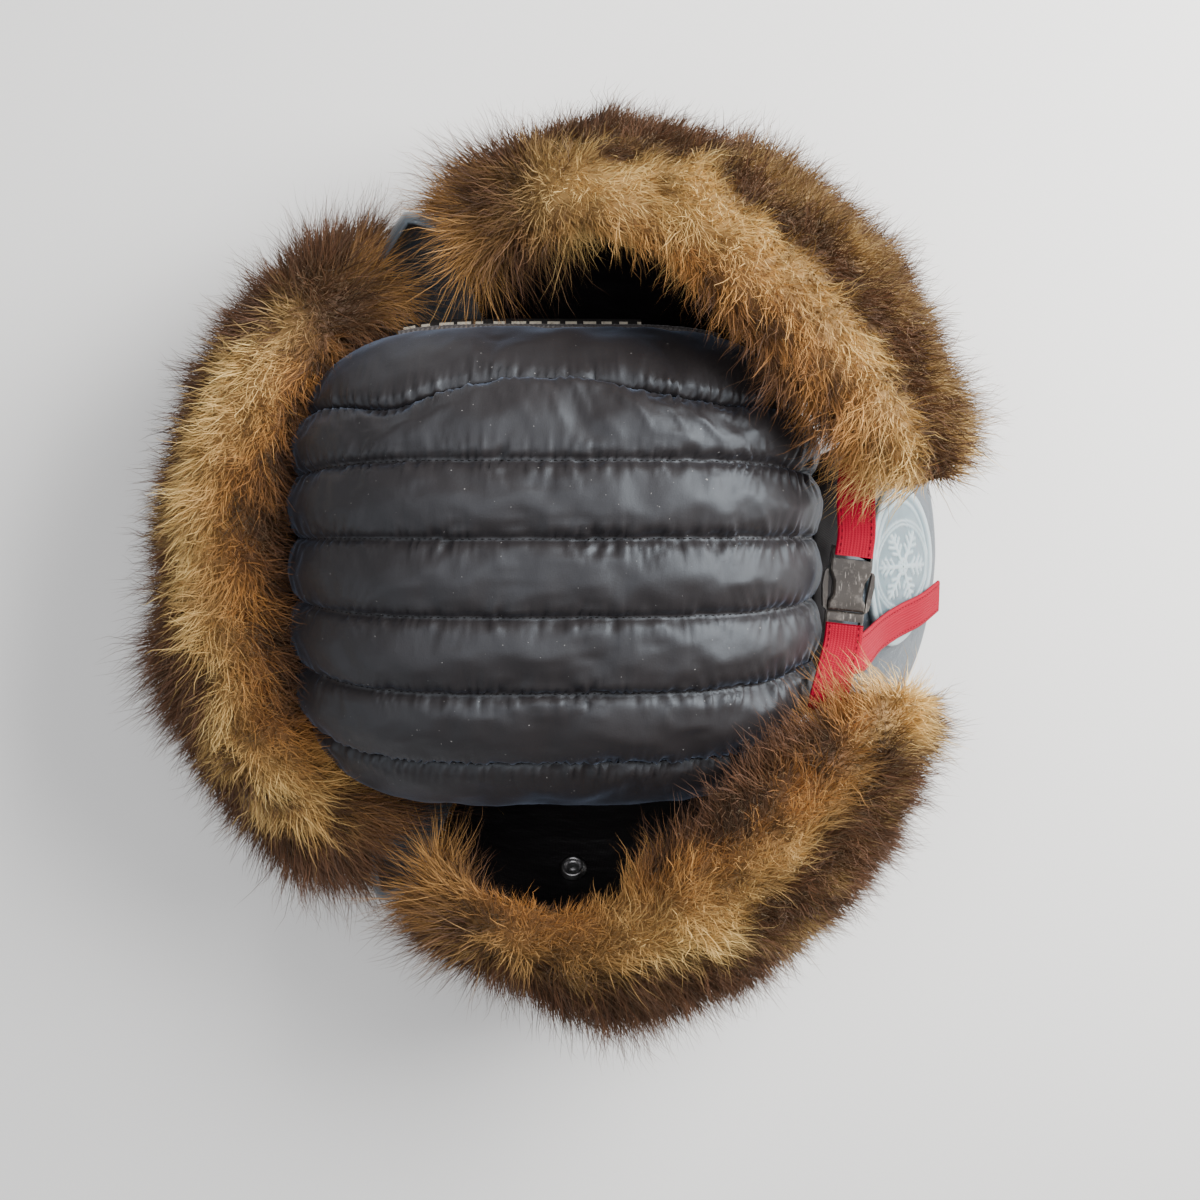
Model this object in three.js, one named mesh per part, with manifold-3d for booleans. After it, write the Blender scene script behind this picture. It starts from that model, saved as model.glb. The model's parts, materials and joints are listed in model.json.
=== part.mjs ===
// Padded earflap hat lying on its rim, with its fur flaps folded up round the crown.
// Millimetres, +Z up, front of the hat towards -X, wearer's right side towards +Y.
import * as THREE from 'three';
import { mergeVertices } from 'three/addons/utils/BufferGeometryUtils.js';
import Module from 'manifold-3d';

const wasm = await Module();
wasm.setup();

// Driving dimensions: crown
const CROWN_X = 0.92; // centre of the crown from the centre of the footprint
const CROWN_Y = 3.76;
const CROWN_HALF_LENGTH = 105; // at the seams, without the padding's swell
const CROWN_HALF_WIDTH = 96;
const CROWN_TOP = 145.5;
const SHOULDER = 78; // height where the wall turns into the dome
const RIM_SCALE = 0.94; // the wall draws in towards the head
const CORNER_ROUND = 0.16;
const CORNER_POWER = 5;
const DOME_POWER = 3;
const WALL = 7; // padded wall at a seam
const CHANNELS = 5;
const CHANNEL_PITCH = 29.5;
const CHANNEL_SWELL = 4.5;
const SIDE_SWELL = 2.5;
const GAP = 0.3; // between pieces that touch

// Driving dimensions: flaps, straps and trim
const CLOTH = 3;
const FLAP_STEP = 8; // degrees between sections of a flap
const FOOT_AWAY = 0.5;
const FOOT_SEATED = 8; // feet up to this height lie against the crown's wall
const SEAT_SLACK = 0.15;
const FALLING_FOOT = 0.4; // a flap that falls meets the wall with the end of its cloth
const FUR_ROLL = 12; // how far the fur hangs over the free edge
const LOCK_LENGTH = 20;
const LOCK_WIDTH = 15;
const LOCK_SPACING = 9.5; // degrees
const LOCK_DEPTH = 9; // of a lock's root below the face of the pile
const FULL_LOCK_PILE = 36; // shorter pile has smaller locks
const PIPING_RADIUS = 1.5;
const PIPING_HEIGHT = 76;
const PIPING_SPAN = [-0.72, 0.76]; // along the crown, from front (-1) to back (1)
const TAPE_SPAN = [-0.7, 0.4];
const TAPE_LEAN = THREE.MathUtils.degToRad(33);
const TAPE_WIDTH = 9;
const TAPE_THICK = 1.2;
const WEB_WIDTH = 15;
const WEB_THICK = 1.6;
const STRAP_STEPS = 22; // sections along a strap
const STRAP_BOW = 1.1; // the cloth curves away behind the middle of the strap
const BUCKLE_AT = new THREE.Vector3(CROWN_X + 116, CROWN_Y - 7, 105);
const BUCKLE_TURN = THREE.MathUtils.degToRad(-6.5);
const BUCKLE_THICK = 7;
const SNAP_RADIUS = 6;
const SNAP_BOW = 0.85; // the cloth curves away behind the middle of the snap

// One row for each section of a flap, at an angle round the crown's centre. The cloth rises from
// its foot, bellies out, and comes back to its free edge; pile is the depth of the fur there.
// Towards the tip of an ear flap the foot leaves the wall, by FOOT_AWAY for each mm of height.
const FRONT_FLAP = [
  { angle: 121, footZ: 8, bellyR: 140, bellyZ: 40, edgeR: 136, edgeZ: 62, pile: 26 },
  { angle: 130, footZ: 8, bellyR: 140, bellyZ: 45, edgeR: 133, edgeZ: 78, pile: 34 },
  { angle: 143, footZ: 8, bellyR: 138, bellyZ: 48, edgeR: 131, edgeZ: 90, pile: 39 },
  { angle: 160, footZ: 8, bellyR: 134, bellyZ: 50, edgeR: 124, edgeZ: 96, pile: 41 },
  { angle: 180, footZ: 8, bellyR: 130, bellyZ: 50, edgeR: 121, edgeZ: 98, pile: 44 },
  { angle: 200, footZ: 8, bellyR: 138, bellyZ: 50, edgeR: 125, edgeZ: 96, pile: 46 },
  { angle: 217, footZ: 8, bellyR: 141, bellyZ: 48, edgeR: 133, edgeZ: 90, pile: 42 },
  { angle: 229, footZ: 8, bellyR: 141, bellyZ: 45, edgeR: 135, edgeZ: 78, pile: 36 },
  { angle: 236, footZ: 8, bellyR: 142, bellyZ: 40, edgeR: 138, edgeZ: 62, pile: 28 },
];
const EAR_FLAP_RIGHT = [
  { angle: 106, footZ: 8, bellyR: 140, bellyZ: 45, edgeR: 135, edgeZ: 78, pile: 24 },
  { angle: 95, footZ: 8, bellyR: 146, bellyZ: 52, edgeR: 139, edgeZ: 95, pile: 30 },
  { angle: 84, footZ: 8, bellyR: 151, bellyZ: 60, edgeR: 142, edgeZ: 110, pile: 36 },
  { angle: 70, footZ: 8, bellyR: 153, bellyZ: 66, edgeR: 138, edgeZ: 122, pile: 39 },
  { angle: 58, footZ: 8, bellyR: 156, bellyZ: 68, edgeR: 130, edgeZ: 130, pile: 42 },
  { angle: 45, footZ: 10, bellyR: 156, bellyZ: 70, edgeR: 122, edgeZ: 132, pile: 41 },
  { angle: 33, footZ: 32, bellyR: 154, bellyZ: 78, edgeR: 124, edgeZ: 132, pile: 37 },
  { angle: 22, footZ: 62, bellyR: 153, bellyZ: 92, edgeR: 134, edgeZ: 129, pile: 26 },
  { angle: 14, footZ: 84, bellyR: 156, bellyZ: 102, edgeR: 146, edgeZ: 122, pile: 14 },
];
const EAR_FLAP_LEFT = [
  { angle: -112, footZ: 8, bellyR: 142, bellyZ: 45, edgeR: 138, edgeZ: 78, pile: 22 },
  { angle: -102, footZ: 8, bellyR: 146, bellyZ: 52, edgeR: 141, edgeZ: 92, pile: 28 },
  { angle: -90, footZ: 8, bellyR: 152, bellyZ: 58, edgeR: 142, edgeZ: 104, pile: 38 },
  { angle: -80, footZ: 8, bellyR: 158, bellyZ: 62, edgeR: 138, edgeZ: 116, pile: 44 },
  { angle: -66, footZ: 8, bellyR: 157, bellyZ: 66, edgeR: 122, edgeZ: 132, pile: 42 },
  { angle: -52, footZ: 8, bellyR: 156, bellyZ: 70, edgeR: 116, edgeZ: 134, pile: 42 },
  { angle: -39, footZ: 24, bellyR: 152, bellyZ: 77, edgeR: 117, edgeZ: 132, pile: 38 },
  { angle: -28, footZ: 56, bellyR: 147, bellyZ: 90, edgeR: 126, edgeZ: 129, pile: 28 },
  { angle: -20, footZ: 82, bellyR: 151, bellyZ: 101, edgeR: 140, edgeZ: 121, pile: 16 },
];
const GUSSET_RIGHT = [
  { angle: 120, footZ: 8, bellyR: 142, bellyZ: 46, edgeR: 143, edgeZ: 66 },
  { angle: 113, footZ: 8, bellyR: 150, bellyZ: 50, edgeR: 152, edgeZ: 76 },
  { angle: 107, footZ: 8, bellyR: 144, bellyZ: 48, edgeR: 140, edgeZ: 74 },
];
const GUSSET_LEFT = [
  { angle: -123, footZ: 8, bellyR: 146, bellyZ: 42, edgeR: 144, edgeZ: 64 },
  { angle: -118, footZ: 8, bellyR: 154, bellyZ: 48, edgeR: 157, edgeZ: 72 },
  { angle: -113, footZ: 8, bellyR: 146, bellyZ: 46, edgeR: 143, edgeZ: 72 },
];
const NECK_FLAP = [
  { angle: -25, footZ: 54, bellyR: 142, bellyZ: 36, edgeR: 172, edgeZ: 0 },
  { angle: -14, footZ: 62, bellyR: 141, bellyZ: 46, edgeR: 174, edgeZ: 0 },
  { angle: 0, footZ: 64, bellyR: 140, bellyZ: 50, edgeR: 175, edgeZ: 0 },
  { angle: 14, footZ: 62, bellyR: 141, bellyZ: 46, edgeR: 174, edgeZ: 0 },
  { angle: 22, footZ: 54, bellyR: 142, bellyZ: 36, edgeR: 172, edgeZ: 0 },
];

// Materials
const finish = (color, roughness, metalness = 0) =>
  new THREE.MeshStandardMaterial({ color, roughness, metalness });
const quiltNylon = finish(0x24242a, 0.38);
const shellCloth = finish(0x5d6a76, 0.45);
const satin = finish(0x121114, 0.35);
const fur = finish(0xa9854f, 0.9);
const webbing = finish(0xc4122c, 0.7);
const plastic = finish(0x2c2624, 0.4);
const rubber = finish(0xa9bcc2, 0.5);
const metal = finish(0x8d8a86, 0.3, 1);

// Closed bodies and joining

// Turns a list of points and triangles into a solid, whichever way its faces were wound.
function solid(points, triangles) {
  let volume = 0;
  for (const [a, b, c] of triangles) {
    volume += points[a].dot(new THREE.Vector3().crossVectors(points[b], points[c]));
  }
  const faces = volume < 0 ? triangles.map(([a, b, c]) => [a, c, b]) : triangles;
  const geometry = new THREE.BufferGeometry();
  const numbers = points.flatMap((p) => p.toArray());
  geometry.setAttribute('position', new THREE.Float32BufferAttribute(numbers, 3));
  geometry.setIndex(faces.flat());
  return geometry;
}

function toManifold(geometry) {
  const bare = geometry.clone();
  bare.deleteAttribute('normal');
  bare.deleteAttribute('uv');
  const merged = mergeVertices(bare, 1e-3);
  const vertProperties = new Float32Array(merged.attributes.position.array);
  const triVerts = new Uint32Array(merged.index.array);
  return new wasm.Manifold(new wasm.Mesh({ numProp: 3, vertProperties, triVerts }));
}

function fromManifold(body) {
  const mesh = body.getMesh();
  const geometry = new THREE.BufferGeometry();
  geometry.setAttribute('position', new THREE.Float32BufferAttribute(mesh.vertProperties, 3));
  geometry.setIndex(new THREE.Uint32BufferAttribute(mesh.triVerts, 1));
  return geometry;
}

// A flat section's points in its own plane, wound counterclockwise, for triangulating a concave end.
function flatten(section) {
  const normal = new THREE.Vector3();
  section.forEach((p, i) => {
    normal.add(new THREE.Vector3().crossVectors(p, section[(i + 1) % section.length]));
  });
  normal.normalize();
  const right = new THREE.Vector3().subVectors(section[1], section[0]).normalize();
  const up = new THREE.Vector3().crossVectors(normal, right);
  return section.map((p) => new THREE.Vector2(p.dot(right), p.dot(up)));
}

// Skin over a row of closed flat sections that all have the same number of points, with flat ends.
// A twisted skin is split along its shorter diagonals, which keeps its two faces parallel.
function loft(sections, twisted = false) {
  const count = sections[0].length;
  const last = sections.length - 1;
  const triangles = [];
  for (let row = 0; row < last; row += 1) {
    for (let i = 0; i < count; i += 1) {
      const next = (i + 1) % count;
      const [a, b] = [row * count + i, row * count + next];
      const [c, d] = [b + count, a + count];
      const [near, far] = [sections[row], sections[row + 1]];
      if (twisted && near[i].distanceTo(far[next]) > near[next].distanceTo(far[i])) {
        triangles.push([a, b, d], [b, c, d]);
      } else {
        triangles.push([a, b, c], [a, c, d]);
      }
    }
  }
  for (const [a, b, c] of THREE.ShapeUtils.triangulateShape(flatten(sections[0]), [])) {
    triangles.push([a, c, b]);
  }
  for (const face of THREE.ShapeUtils.triangulateShape(flatten(sections[last]), [])) {
    triangles.push(face.map((i) => last * count + i));
  }
  return solid(sections.flat(), triangles);
}

// Crown

const SEAM = (CHANNELS * CHANNEL_PITCH) / 2 / CROWN_HALF_WIDTH; // outermost seams, as a share of width

// Steps from 0 to 1 that lie closer together towards 1, where the dome turns down.
const easedSteps = (count) => Array.from({ length: count + 1 }, (_, k) => 1 - (1 - k / count) ** 2);
const bothSides = (steps) => [...steps.slice(1).map((s) => -s).reverse(), ...steps];

function channelSteps() {
  const within = [0, 0.13, 0.32, 0.5, 0.68, 0.87];
  const lines = [];
  for (let channel = 0; channel < CHANNELS; channel += 1) {
    const start = -SEAM + (channel * 2 * SEAM) / CHANNELS;
    within.forEach((part) => lines.push(start + (part * 2 * SEAM) / CHANNELS));
  }
  const side = [0.25, 0.5, 0.72, 0.9, 1].map((part) => SEAM + part * (1 - SEAM));
  return [...side.map((s) => -s).reverse(), ...lines, SEAM, ...side];
}

// How far the padding swells between two seams.
function swellAt(v) {
  const size = Math.abs(v);
  if (size > SEAM) {
    return SIDE_SWELL * Math.sin((Math.PI * (size - SEAM)) / (1 - SEAM));
  }
  const part = ((v + SEAM) / (2 * SEAM)) * CHANNELS;
  return CHANNEL_SWELL * Math.sin(Math.PI * (part % 1)) ** 0.8;
}

// A smooth line over the tops of all the swells, for what lies against the crown.
const crestAt = (v) => CHANNEL_SWELL * (1 - Math.abs(v) ** 8);

// u runs from the front (-1) to the back (1), v from the left (-1) to the right (1).
function domePoint(u, v, inset) {
  const across = (value, other) => value * (1 - CORNER_ROUND * Math.abs(other) ** CORNER_POWER);
  const fall = (1 - Math.abs(u) ** DOME_POWER) * (1 - Math.abs(v) ** DOME_POWER);
  return new THREE.Vector3(
    CROWN_X + (CROWN_HALF_LENGTH - inset) * across(u, v),
    CROWN_Y + (CROWN_HALF_WIDTH - inset) * across(v, u),
    SHOULDER + (CROWN_TOP - inset - SHOULDER) * Math.sqrt(fall),
  );
}

function domeNormal(u, v, inset) {
  const step = 0.01;
  const near = 0.985;
  const at = (du, dv) => domePoint(near * u + du, near * v + dv, inset);
  const alongU = at(step / 2, 0).sub(at(-step / 2, 0));
  const alongV = at(0, step / 2).sub(at(0, -step / 2));
  return new THREE.Vector3().crossVectors(alongU, alongV).normalize();
}

// Wall below the dome's edge: the same outline, drawn in towards the rim.
function wallPoint(u, v, z, inset, swell) {
  const edge = domePoint(u, v, inset);
  const out = domeNormal(u, v, inset).setZ(0).normalize();
  const fade = 0.35 + (0.65 * Math.max(z, 0)) / SHOULDER;
  edge.addScaledVector(out, swell(v) * fade);
  const drawn = 1 - (1 - RIM_SCALE) * (1 - Math.max(z, 0) / SHOULDER);
  return new THREE.Vector3(CROWN_X + (edge.x - CROWN_X) * drawn, CROWN_Y + (edge.y - CROWN_Y) * drawn, z);
}

// The border of a grid, once round.
function border(us, vs) {
  const uEnd = us.length - 1;
  const vEnd = vs.length - 1;
  const loop = [];
  for (let i = 0; i < uEnd; i += 1) loop.push([i, 0]);
  for (let j = 0; j < vEnd; j += 1) loop.push([uEnd, j]);
  for (let i = uEnd; i > 0; i -= 1) loop.push([i, vEnd]);
  for (let j = vEnd; j > 0; j -= 1) loop.push([0, j]);
  return loop;
}

// Dome and walls as one closed body, down to the lowest of the levels.
function domeBody(us, vs, inset, swell, levels) {
  const points = [];
  const triangles = [];
  const index = (i, j) => i * vs.length + j;
  for (const u of us) {
    for (const v of vs) {
      points.push(domePoint(u, v, inset).addScaledVector(domeNormal(u, v, inset), swell(v)));
    }
  }
  for (let i = 0; i + 1 < us.length; i += 1) {
    for (let j = 0; j + 1 < vs.length; j += 1) {
      triangles.push([index(i, j), index(i + 1, j), index(i + 1, j + 1)]);
      triangles.push([index(i, j), index(i + 1, j + 1), index(i, j + 1)]);
    }
  }
  const loop = border(us, vs);
  let above = loop.map(([i, j]) => index(i, j));
  for (const z of levels) {
    const ring = loop.map(([i, j]) => points.push(wallPoint(us[i], vs[j], z, inset, swell)) - 1);
    ring.forEach((_, k) => {
      const next = (k + 1) % ring.length;
      triangles.push([above[k], ring[k], ring[next]], [above[k], ring[next], above[next]]);
    });
    above = ring;
  }
  const centre = points.push(new THREE.Vector3(CROWN_X, CROWN_Y, levels[levels.length - 1])) - 1;
  above.forEach((a, k) => triangles.push([a, centre, above[(k + 1) % above.length]]));
  return toManifold(solid(points, triangles));
}

// Upright prism between the two panel seams, each moved outwards by grow.
function seamPrism(grow) {
  const reach = 1.25;
  const us = bothSides(easedSteps(6)).map((u) => u * reach);
  const side = (turn) => us.map((u) => {
    const bend = 1 - CORNER_ROUND * Math.min(Math.abs(u), 1) ** CORNER_POWER;
    return new THREE.Vector2(
      CROWN_X + CROWN_HALF_LENGTH * u,
      CROWN_Y + turn * (CROWN_HALF_WIDTH * SEAM * bend + grow),
    );
  });
  const outline = new THREE.Shape([...side(-1), ...side(1).reverse()]);
  const prism = new THREE.ExtrudeGeometry(outline, { depth: 2 * CROWN_TOP, bevelEnabled: false });
  prism.translate(0, 0, -CROWN_TOP / 2);
  return toManifold(prism);
}

function halfSpace(turn) {
  const size = 4 * CROWN_TOP;
  const box = new THREE.BoxGeometry(size, size, size);
  box.translate(CROWN_X, CROWN_Y + (turn * size) / 2, 0);
  return toManifold(box);
}

function crownBodies() {
  const outer = domeBody(bothSides(easedSteps(8)), channelSteps(), 0, swellAt, [45, 16, 0]);
  const hollowSteps = [bothSides(easedSteps(4)), bothSides(easedSteps(5))];
  const hollow = domeBody(...hollowSteps, WALL, () => 0, [30, -WALL]);
  const shell = outer.subtract(hollow);
  const sides = shell.subtract(seamPrism(GAP / 2));
  return {
    middle: fromManifold(shell.intersect(seamPrism(-GAP / 2))),
    right: fromManifold(sides.intersect(halfSpace(1))),
    left: fromManifold(sides.intersect(halfSpace(-1))),
  };
}

// Trim along the crown's side. Each section is a list of [out, up] from the wall at a height.
function sideTrim(turn, z, [uFrom, uTo], steps, outline) {
  const sections = [];
  for (let k = 0; k <= steps; k += 1) {
    const u = uFrom + ((uTo - uFrom) * k) / steps;
    const wall = wallPoint(u, turn, z, 0, () => 0);
    const out = domeNormal(u, turn, 0).setZ(0).normalize();
    sections.push(outline.map(([away, up]) => wall.clone().addScaledVector(out, away).setZ(z + up)));
  }
  return loft(sections);
}

function pipingSection() {
  const sides = 8;
  return Array.from({ length: sides }, (_, k) => {
    const turn = (2 * Math.PI * (k + 0.5)) / sides;
    const away = PIPING_RADIUS * (1 + Math.cos(turn)) + GAP;
    return [away, PIPING_RADIUS * Math.sin(turn)];
  });
}

// The tape leans outwards below the piping, so it shows from above.
function tapeSection() {
  const along = [Math.sin(TAPE_LEAN), -Math.cos(TAPE_LEAN)];
  const thick = [Math.cos(TAPE_LEAN) * TAPE_THICK, Math.sin(TAPE_LEAN) * TAPE_THICK];
  const top = [GAP, -PIPING_RADIUS - GAP - thick[1]];
  const low = [top[0] + along[0] * TAPE_WIDTH, top[1] + along[1] * TAPE_WIDTH];
  return [top, low, [low[0] + thick[0], low[1] + thick[1]], [top[0] + thick[0], top[1] + thick[1]]];
}

// Flaps

const polar = (angle, r, z) => {
  const turn = THREE.MathUtils.degToRad(angle);
  return new THREE.Vector3(CROWN_X + r * Math.cos(turn), CROWN_Y + r * Math.sin(turn), z);
};

// Distance of the crown's wall from its centre, at an angle and a height.
const wallOutlines = new Map();

function wallOutline(z) {
  if (!wallOutlines.has(z)) {
    const steps = bothSides(easedSteps(40));
    const outline = border(steps, steps).map(([i, j]) => {
      const p = wallPoint(steps[i], steps[j], z, 0, crestAt);
      const [x, y] = [p.x - CROWN_X, p.y - CROWN_Y];
      return { turn: THREE.MathUtils.euclideanModulo(Math.atan2(y, x), 2 * Math.PI), r: Math.hypot(x, y) };
    });
    wallOutlines.set(z, outline);
  }
  return wallOutlines.get(z);
}

function wallRadius(angle, z) {
  const wanted = THREE.MathUtils.euclideanModulo(THREE.MathUtils.degToRad(angle), 2 * Math.PI);
  const apart = ({ turn }) => Math.min(Math.abs(turn - wanted), 2 * Math.PI - Math.abs(turn - wanted));
  const outline = wallOutline(Math.min(Math.round(z), SHOULDER));
  return outline.reduce((best, p) => (apart(p) < apart(best) ? p : best)).r;
}

// A row of the table at any angle between two of its rows.
function rowAt(rows, angle) {
  const rising = rows[rows.length - 1].angle > rows[0].angle;
  const found = rows.findIndex((row) => (rising ? row.angle >= angle : row.angle <= angle));
  const after = found < 0 ? rows.length - 1 : Math.max(found, 1);
  const high = rows[after];
  const low = rows[after - 1];
  const part = (angle - low.angle) / (high.angle - low.angle);
  const row = {};
  for (const name of Object.keys(low)) row[name] = THREE.MathUtils.lerp(low[name], high[name], part);
  return row;
}

// A point of a flap's cloth: s runs from the foot (0) to the free edge (1), off is measured
// square to the cloth, away from the head.
function flapPoint(row, s, off, past = 0) {
  const away = row.pile ? FOOT_AWAY * (row.footZ - FOOT_SEATED) : 0;
  const half = row.edgeZ > row.footZ ? CLOTH / 2 : FALLING_FOOT;
  const seat = wallRadius(row.angle, row.footZ) + GAP + half + SEAT_SLACK + away;
  const foot = new THREE.Vector2(seat, row.footZ);
  const edge = new THREE.Vector2(row.edgeR, row.edgeZ);
  const belly = new THREE.Vector2(row.bellyR, row.bellyZ);
  const pull = belly.clone().multiplyScalar(2).sub(foot.clone().add(edge).multiplyScalar(0.5));
  const at = foot.clone().multiplyScalar((1 - s) ** 2);
  at.addScaledVector(pull, 2 * s * (1 - s));
  at.addScaledVector(edge, s ** 2);
  const along = pull.clone().sub(foot).multiplyScalar(1 - s);
  along.addScaledVector(edge.clone().sub(pull), s).normalize();
  const out = new THREE.Vector2(along.y, -along.x).multiplyScalar(edge.y > foot.y ? 1 : -1);
  at.addScaledVector(out, off).addScaledVector(along, past);
  return { r: at.x, z: at.y };
}

const onFlap = (row, s, off, past) => {
  const { r, z } = flapPoint(row, s, off, past);
  return polar(row.angle, r, z);
};

function flapAngles(rows, step) {
  const first = rows[0].angle;
  const span = rows[rows.length - 1].angle - first;
  const count = Math.ceil(Math.abs(span) / step);
  return Array.from({ length: count + 1 }, (_, k) => first + (span * k) / count);
}

const evenly = (count) => Array.from({ length: count + 1 }, (_, k) => k / count);

// The cloth of a flap as one curved wall.
function flapCloth(rows, step, across) {
  const sections = flapAngles(rows, step).map((angle) => {
    const row = rowAt(rows, angle);
    const out = evenly(across).map((s) => onFlap(row, s, CLOTH / 2));
    const inside = evenly(across).map((s) => onFlap(row, s, -CLOTH / 2));
    return [...out, ...inside.reverse()].map(raise);
  });
  return loft(sections);
}

// Nothing lies lower than the surface under the hat.
const raise = (p) => p.setZ(Math.max(p.z, 0));
const FUR_FLOOR = 1;
const raiseFur = (p) => p.setZ(Math.max(p.z, FUR_FLOOR));

// Depth of the pile over a flap, as a share of its row's pile.
const PILE_SHAPE = [
  { s: 0.1, part: 0.3 },
  { s: 0.28, part: 0.66 },
  { s: 0.5, part: 0.84 },
  { s: 0.72, part: 0.84 },
  { s: 0.92, part: 0.62 },
];

// The fur's underside has the cloth's own stations, so the two lie evenly apart.
function furSection(row, across) {
  const skin = CLOTH / 2 + GAP;
  const turn = (across - 1) / across; // the fur rolls over the free edge, down to here
  const under = evenly(across).slice(1).map((s) => onFlap(row, s, skin));
  const over = [onFlap(row, 1, skin, 2 * GAP), onFlap(row, 1, -skin, 2 * GAP), onFlap(row, turn, -skin)];
  const roll = [
    onFlap(row, turn, -skin - FUR_ROLL * 0.3),
    onFlap(row, 0.96, -skin - FUR_ROLL * 0.65),
    onFlap(row, 1, 0, FUR_ROLL),
  ];
  const face = PILE_SHAPE.map(({ s, part }) => onFlap(row, s, skin + part * row.pile)).reverse();
  return [...under, ...over, ...roll, ...face].map(raiseFur);
}

// One pointed lock of fur, its root inside the pile.
function lockBody(root, grow, across, size) {
  const width = LOCK_WIDTH * size;
  const length = LOCK_LENGTH * size;
  const thick = new THREE.Vector3().crossVectors(grow, across).normalize();
  const ring = (along, half) => [-1, 1, 0].map((corner, k) => root.clone()
    .addScaledVector(grow, along)
    .addScaledVector(across, corner * half)
    .addScaledVector(thick, (k === 2 ? 0.9 : -0.35) * half));
  const sections = [ring(0, width / 2), ring(length * 0.55, width / 3), ring(length, 0.5)];
  return toManifold(loft(sections.map((section) => section.map(raiseFur))));
}

// Places of the locks over a flap, and how far they comb sideways and up.
const LOCK_ROWS = [
  { s: 0.26, comb: 0.35, lift: -0.1 },
  { s: 0.52, comb: 0.45, lift: 0.05 },
  { s: 0.76, comb: 0.5, lift: 0.1 },
  { s: 0.95, comb: 0.55, lift: 0.2 },
];

function flapFur(rows, combTurn, across) {
  const skin = loft(flapAngles(rows, FLAP_STEP).map((angle) => furSection(rowAt(rows, angle), across)));
  let body = toManifold(skin);
  LOCK_ROWS.forEach((line, number) => {
    const angles = flapAngles(rows, LOCK_SPACING);
    angles.slice(1, -1).forEach((angle, k) => {
      const row = rowAt(rows, angle + (number % 2 ? 2 : 0) * Math.sign(angles[1] - angles[0]));
      const wave = Math.sin(3.1 * k + 1.7 * number);
      const share = PILE_SHAPE.reduce((best, p) => (
        Math.abs(p.s - line.s) < Math.abs(best.s - line.s) ? p : best)).part;
      const depth = CLOTH / 2 + row.pile * share;
      const size = Math.min(1, row.pile / FULL_LOCK_PILE) * (1 + 0.2 * wave);
      const root = onFlap(row, line.s, depth - LOCK_DEPTH * size);
      const out = onFlap(row, line.s, depth).sub(root).normalize();
      const side = new THREE.Vector3(-Math.sin(angleOf(row)), Math.cos(angleOf(row)), 0);
      side.multiplyScalar(combTurn * (line.comb + 0.25 * wave));
      const grow = out.add(side).add(new THREE.Vector3(0, 0, line.lift)).normalize();
      const across = new THREE.Vector3().crossVectors(grow, new THREE.Vector3(0, 0, 1)).normalize();
      body = body.add(lockBody(root, grow, across, size));
    });
  });
  return fromManifold(body);
}

const angleOf = (row) => THREE.MathUtils.degToRad(row.angle);

// Webbing, patch and snap

// A flat strap through places, each with the way its face looks.
function ribbon(places) {
  const route = new THREE.CatmullRomCurve3(places.map(({ at }) => at), false, 'centripetal');
  const faceAt = (t) => {
    const place = Math.min(Math.floor(t * (places.length - 1)), places.length - 2);
    return places[place].face.clone().lerp(places[place + 1].face, t * (places.length - 1) - place);
  };
  const sections = evenly(STRAP_STEPS).map((t) => {
    const along = route.getTangent(t);
    const side = new THREE.Vector3().crossVectors(along, faceAt(t)).normalize();
    const face = new THREE.Vector3().crossVectors(side, along).normalize();
    return [[-1, -1], [1, -1], [1, 1], [-1, 1]].map(([w, h]) => route.getPoint(t)
      .addScaledVector(side, (w * WEB_WIDTH) / 2)
      .addScaledVector(face, (h * WEB_THICK) / 2));
  });
  return loft(sections, true);
}

// A place on a flap's cloth for a strap, and the way the cloth looks there.
function seat(rows, angle, s, off) {
  const row = rowAt(rows, angle);
  const at = onFlap(row, s, off);
  const face = onFlap(row, s, off + Math.sign(off)).sub(at).normalize();
  return { at, face };
}

// Raised oval patch that lies on the neck flap: rings from its centre to its border.
const PATCH = { angle: -1, s: 0.62, halfAngle: 13.5, halfS: 0.26, lift: GAP + 0.2, base: 1.8, border: 2.8 };
const PATCH_RINGS = [
  { part: 0.45, top: 'base' },
  { part: 0.86, top: 'base' },
  { part: 0.9, top: 'border' },
  { part: 1, top: 'border' },
];

function patchBody() {
  const sides = 24;
  const at = (part, k, up) => {
    const turn = (2 * Math.PI * k) / sides;
    const row = rowAt(NECK_FLAP, PATCH.angle + PATCH.halfAngle * part * Math.cos(turn));
    return onFlap(row, PATCH.s + PATCH.halfS * part * Math.sin(turn), CLOTH / 2 + PATCH.lift + up);
  };
  const points = [];
  const triangles = [];
  const cap = (heightOf, flip) => {
    const centre = points.push(at(0, 0, heightOf({ top: 'base' }))) - 1;
    let inner = null;
    for (const ring of PATCH_RINGS) {
      const height = heightOf(ring);
      const outer = Array.from({ length: sides }, (_, k) => points.push(at(ring.part, k, height)) - 1);
      outer.forEach((a, k) => {
        const b = outer[(k + 1) % sides];
        const faces = inner
          ? [[inner[k], a, b], [inner[k], b, inner[(k + 1) % sides]]]
          : [[centre, a, b]];
        faces.forEach(([p, q, r]) => triangles.push(flip ? [p, r, q] : [p, q, r]));
      });
      inner = outer;
    }
    return inner;
  };
  const top = cap((ring) => PATCH[ring.top], false);
  const under = cap(() => 0, true);
  top.forEach((a, k) => {
    const next = (k + 1) % sides;
    triangles.push([a, under[k], under[next]], [a, under[next], top[next]]);
  });
  return solid(points, triangles);
}

// Round snap: flat base, a raised ring and a dimple.
function snapBody() {
  const profile = [[0, 0], [1, 0], [1, 0.12], [0.82, 0.4], [0.6, 0.4], [0.5, 0.18], [0, 0.18]];
  const points = profile.map(([r, h]) => new THREE.Vector2(r * SNAP_RADIUS, h * SNAP_RADIUS));
  return new THREE.LatheGeometry(points, 20);
}

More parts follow.
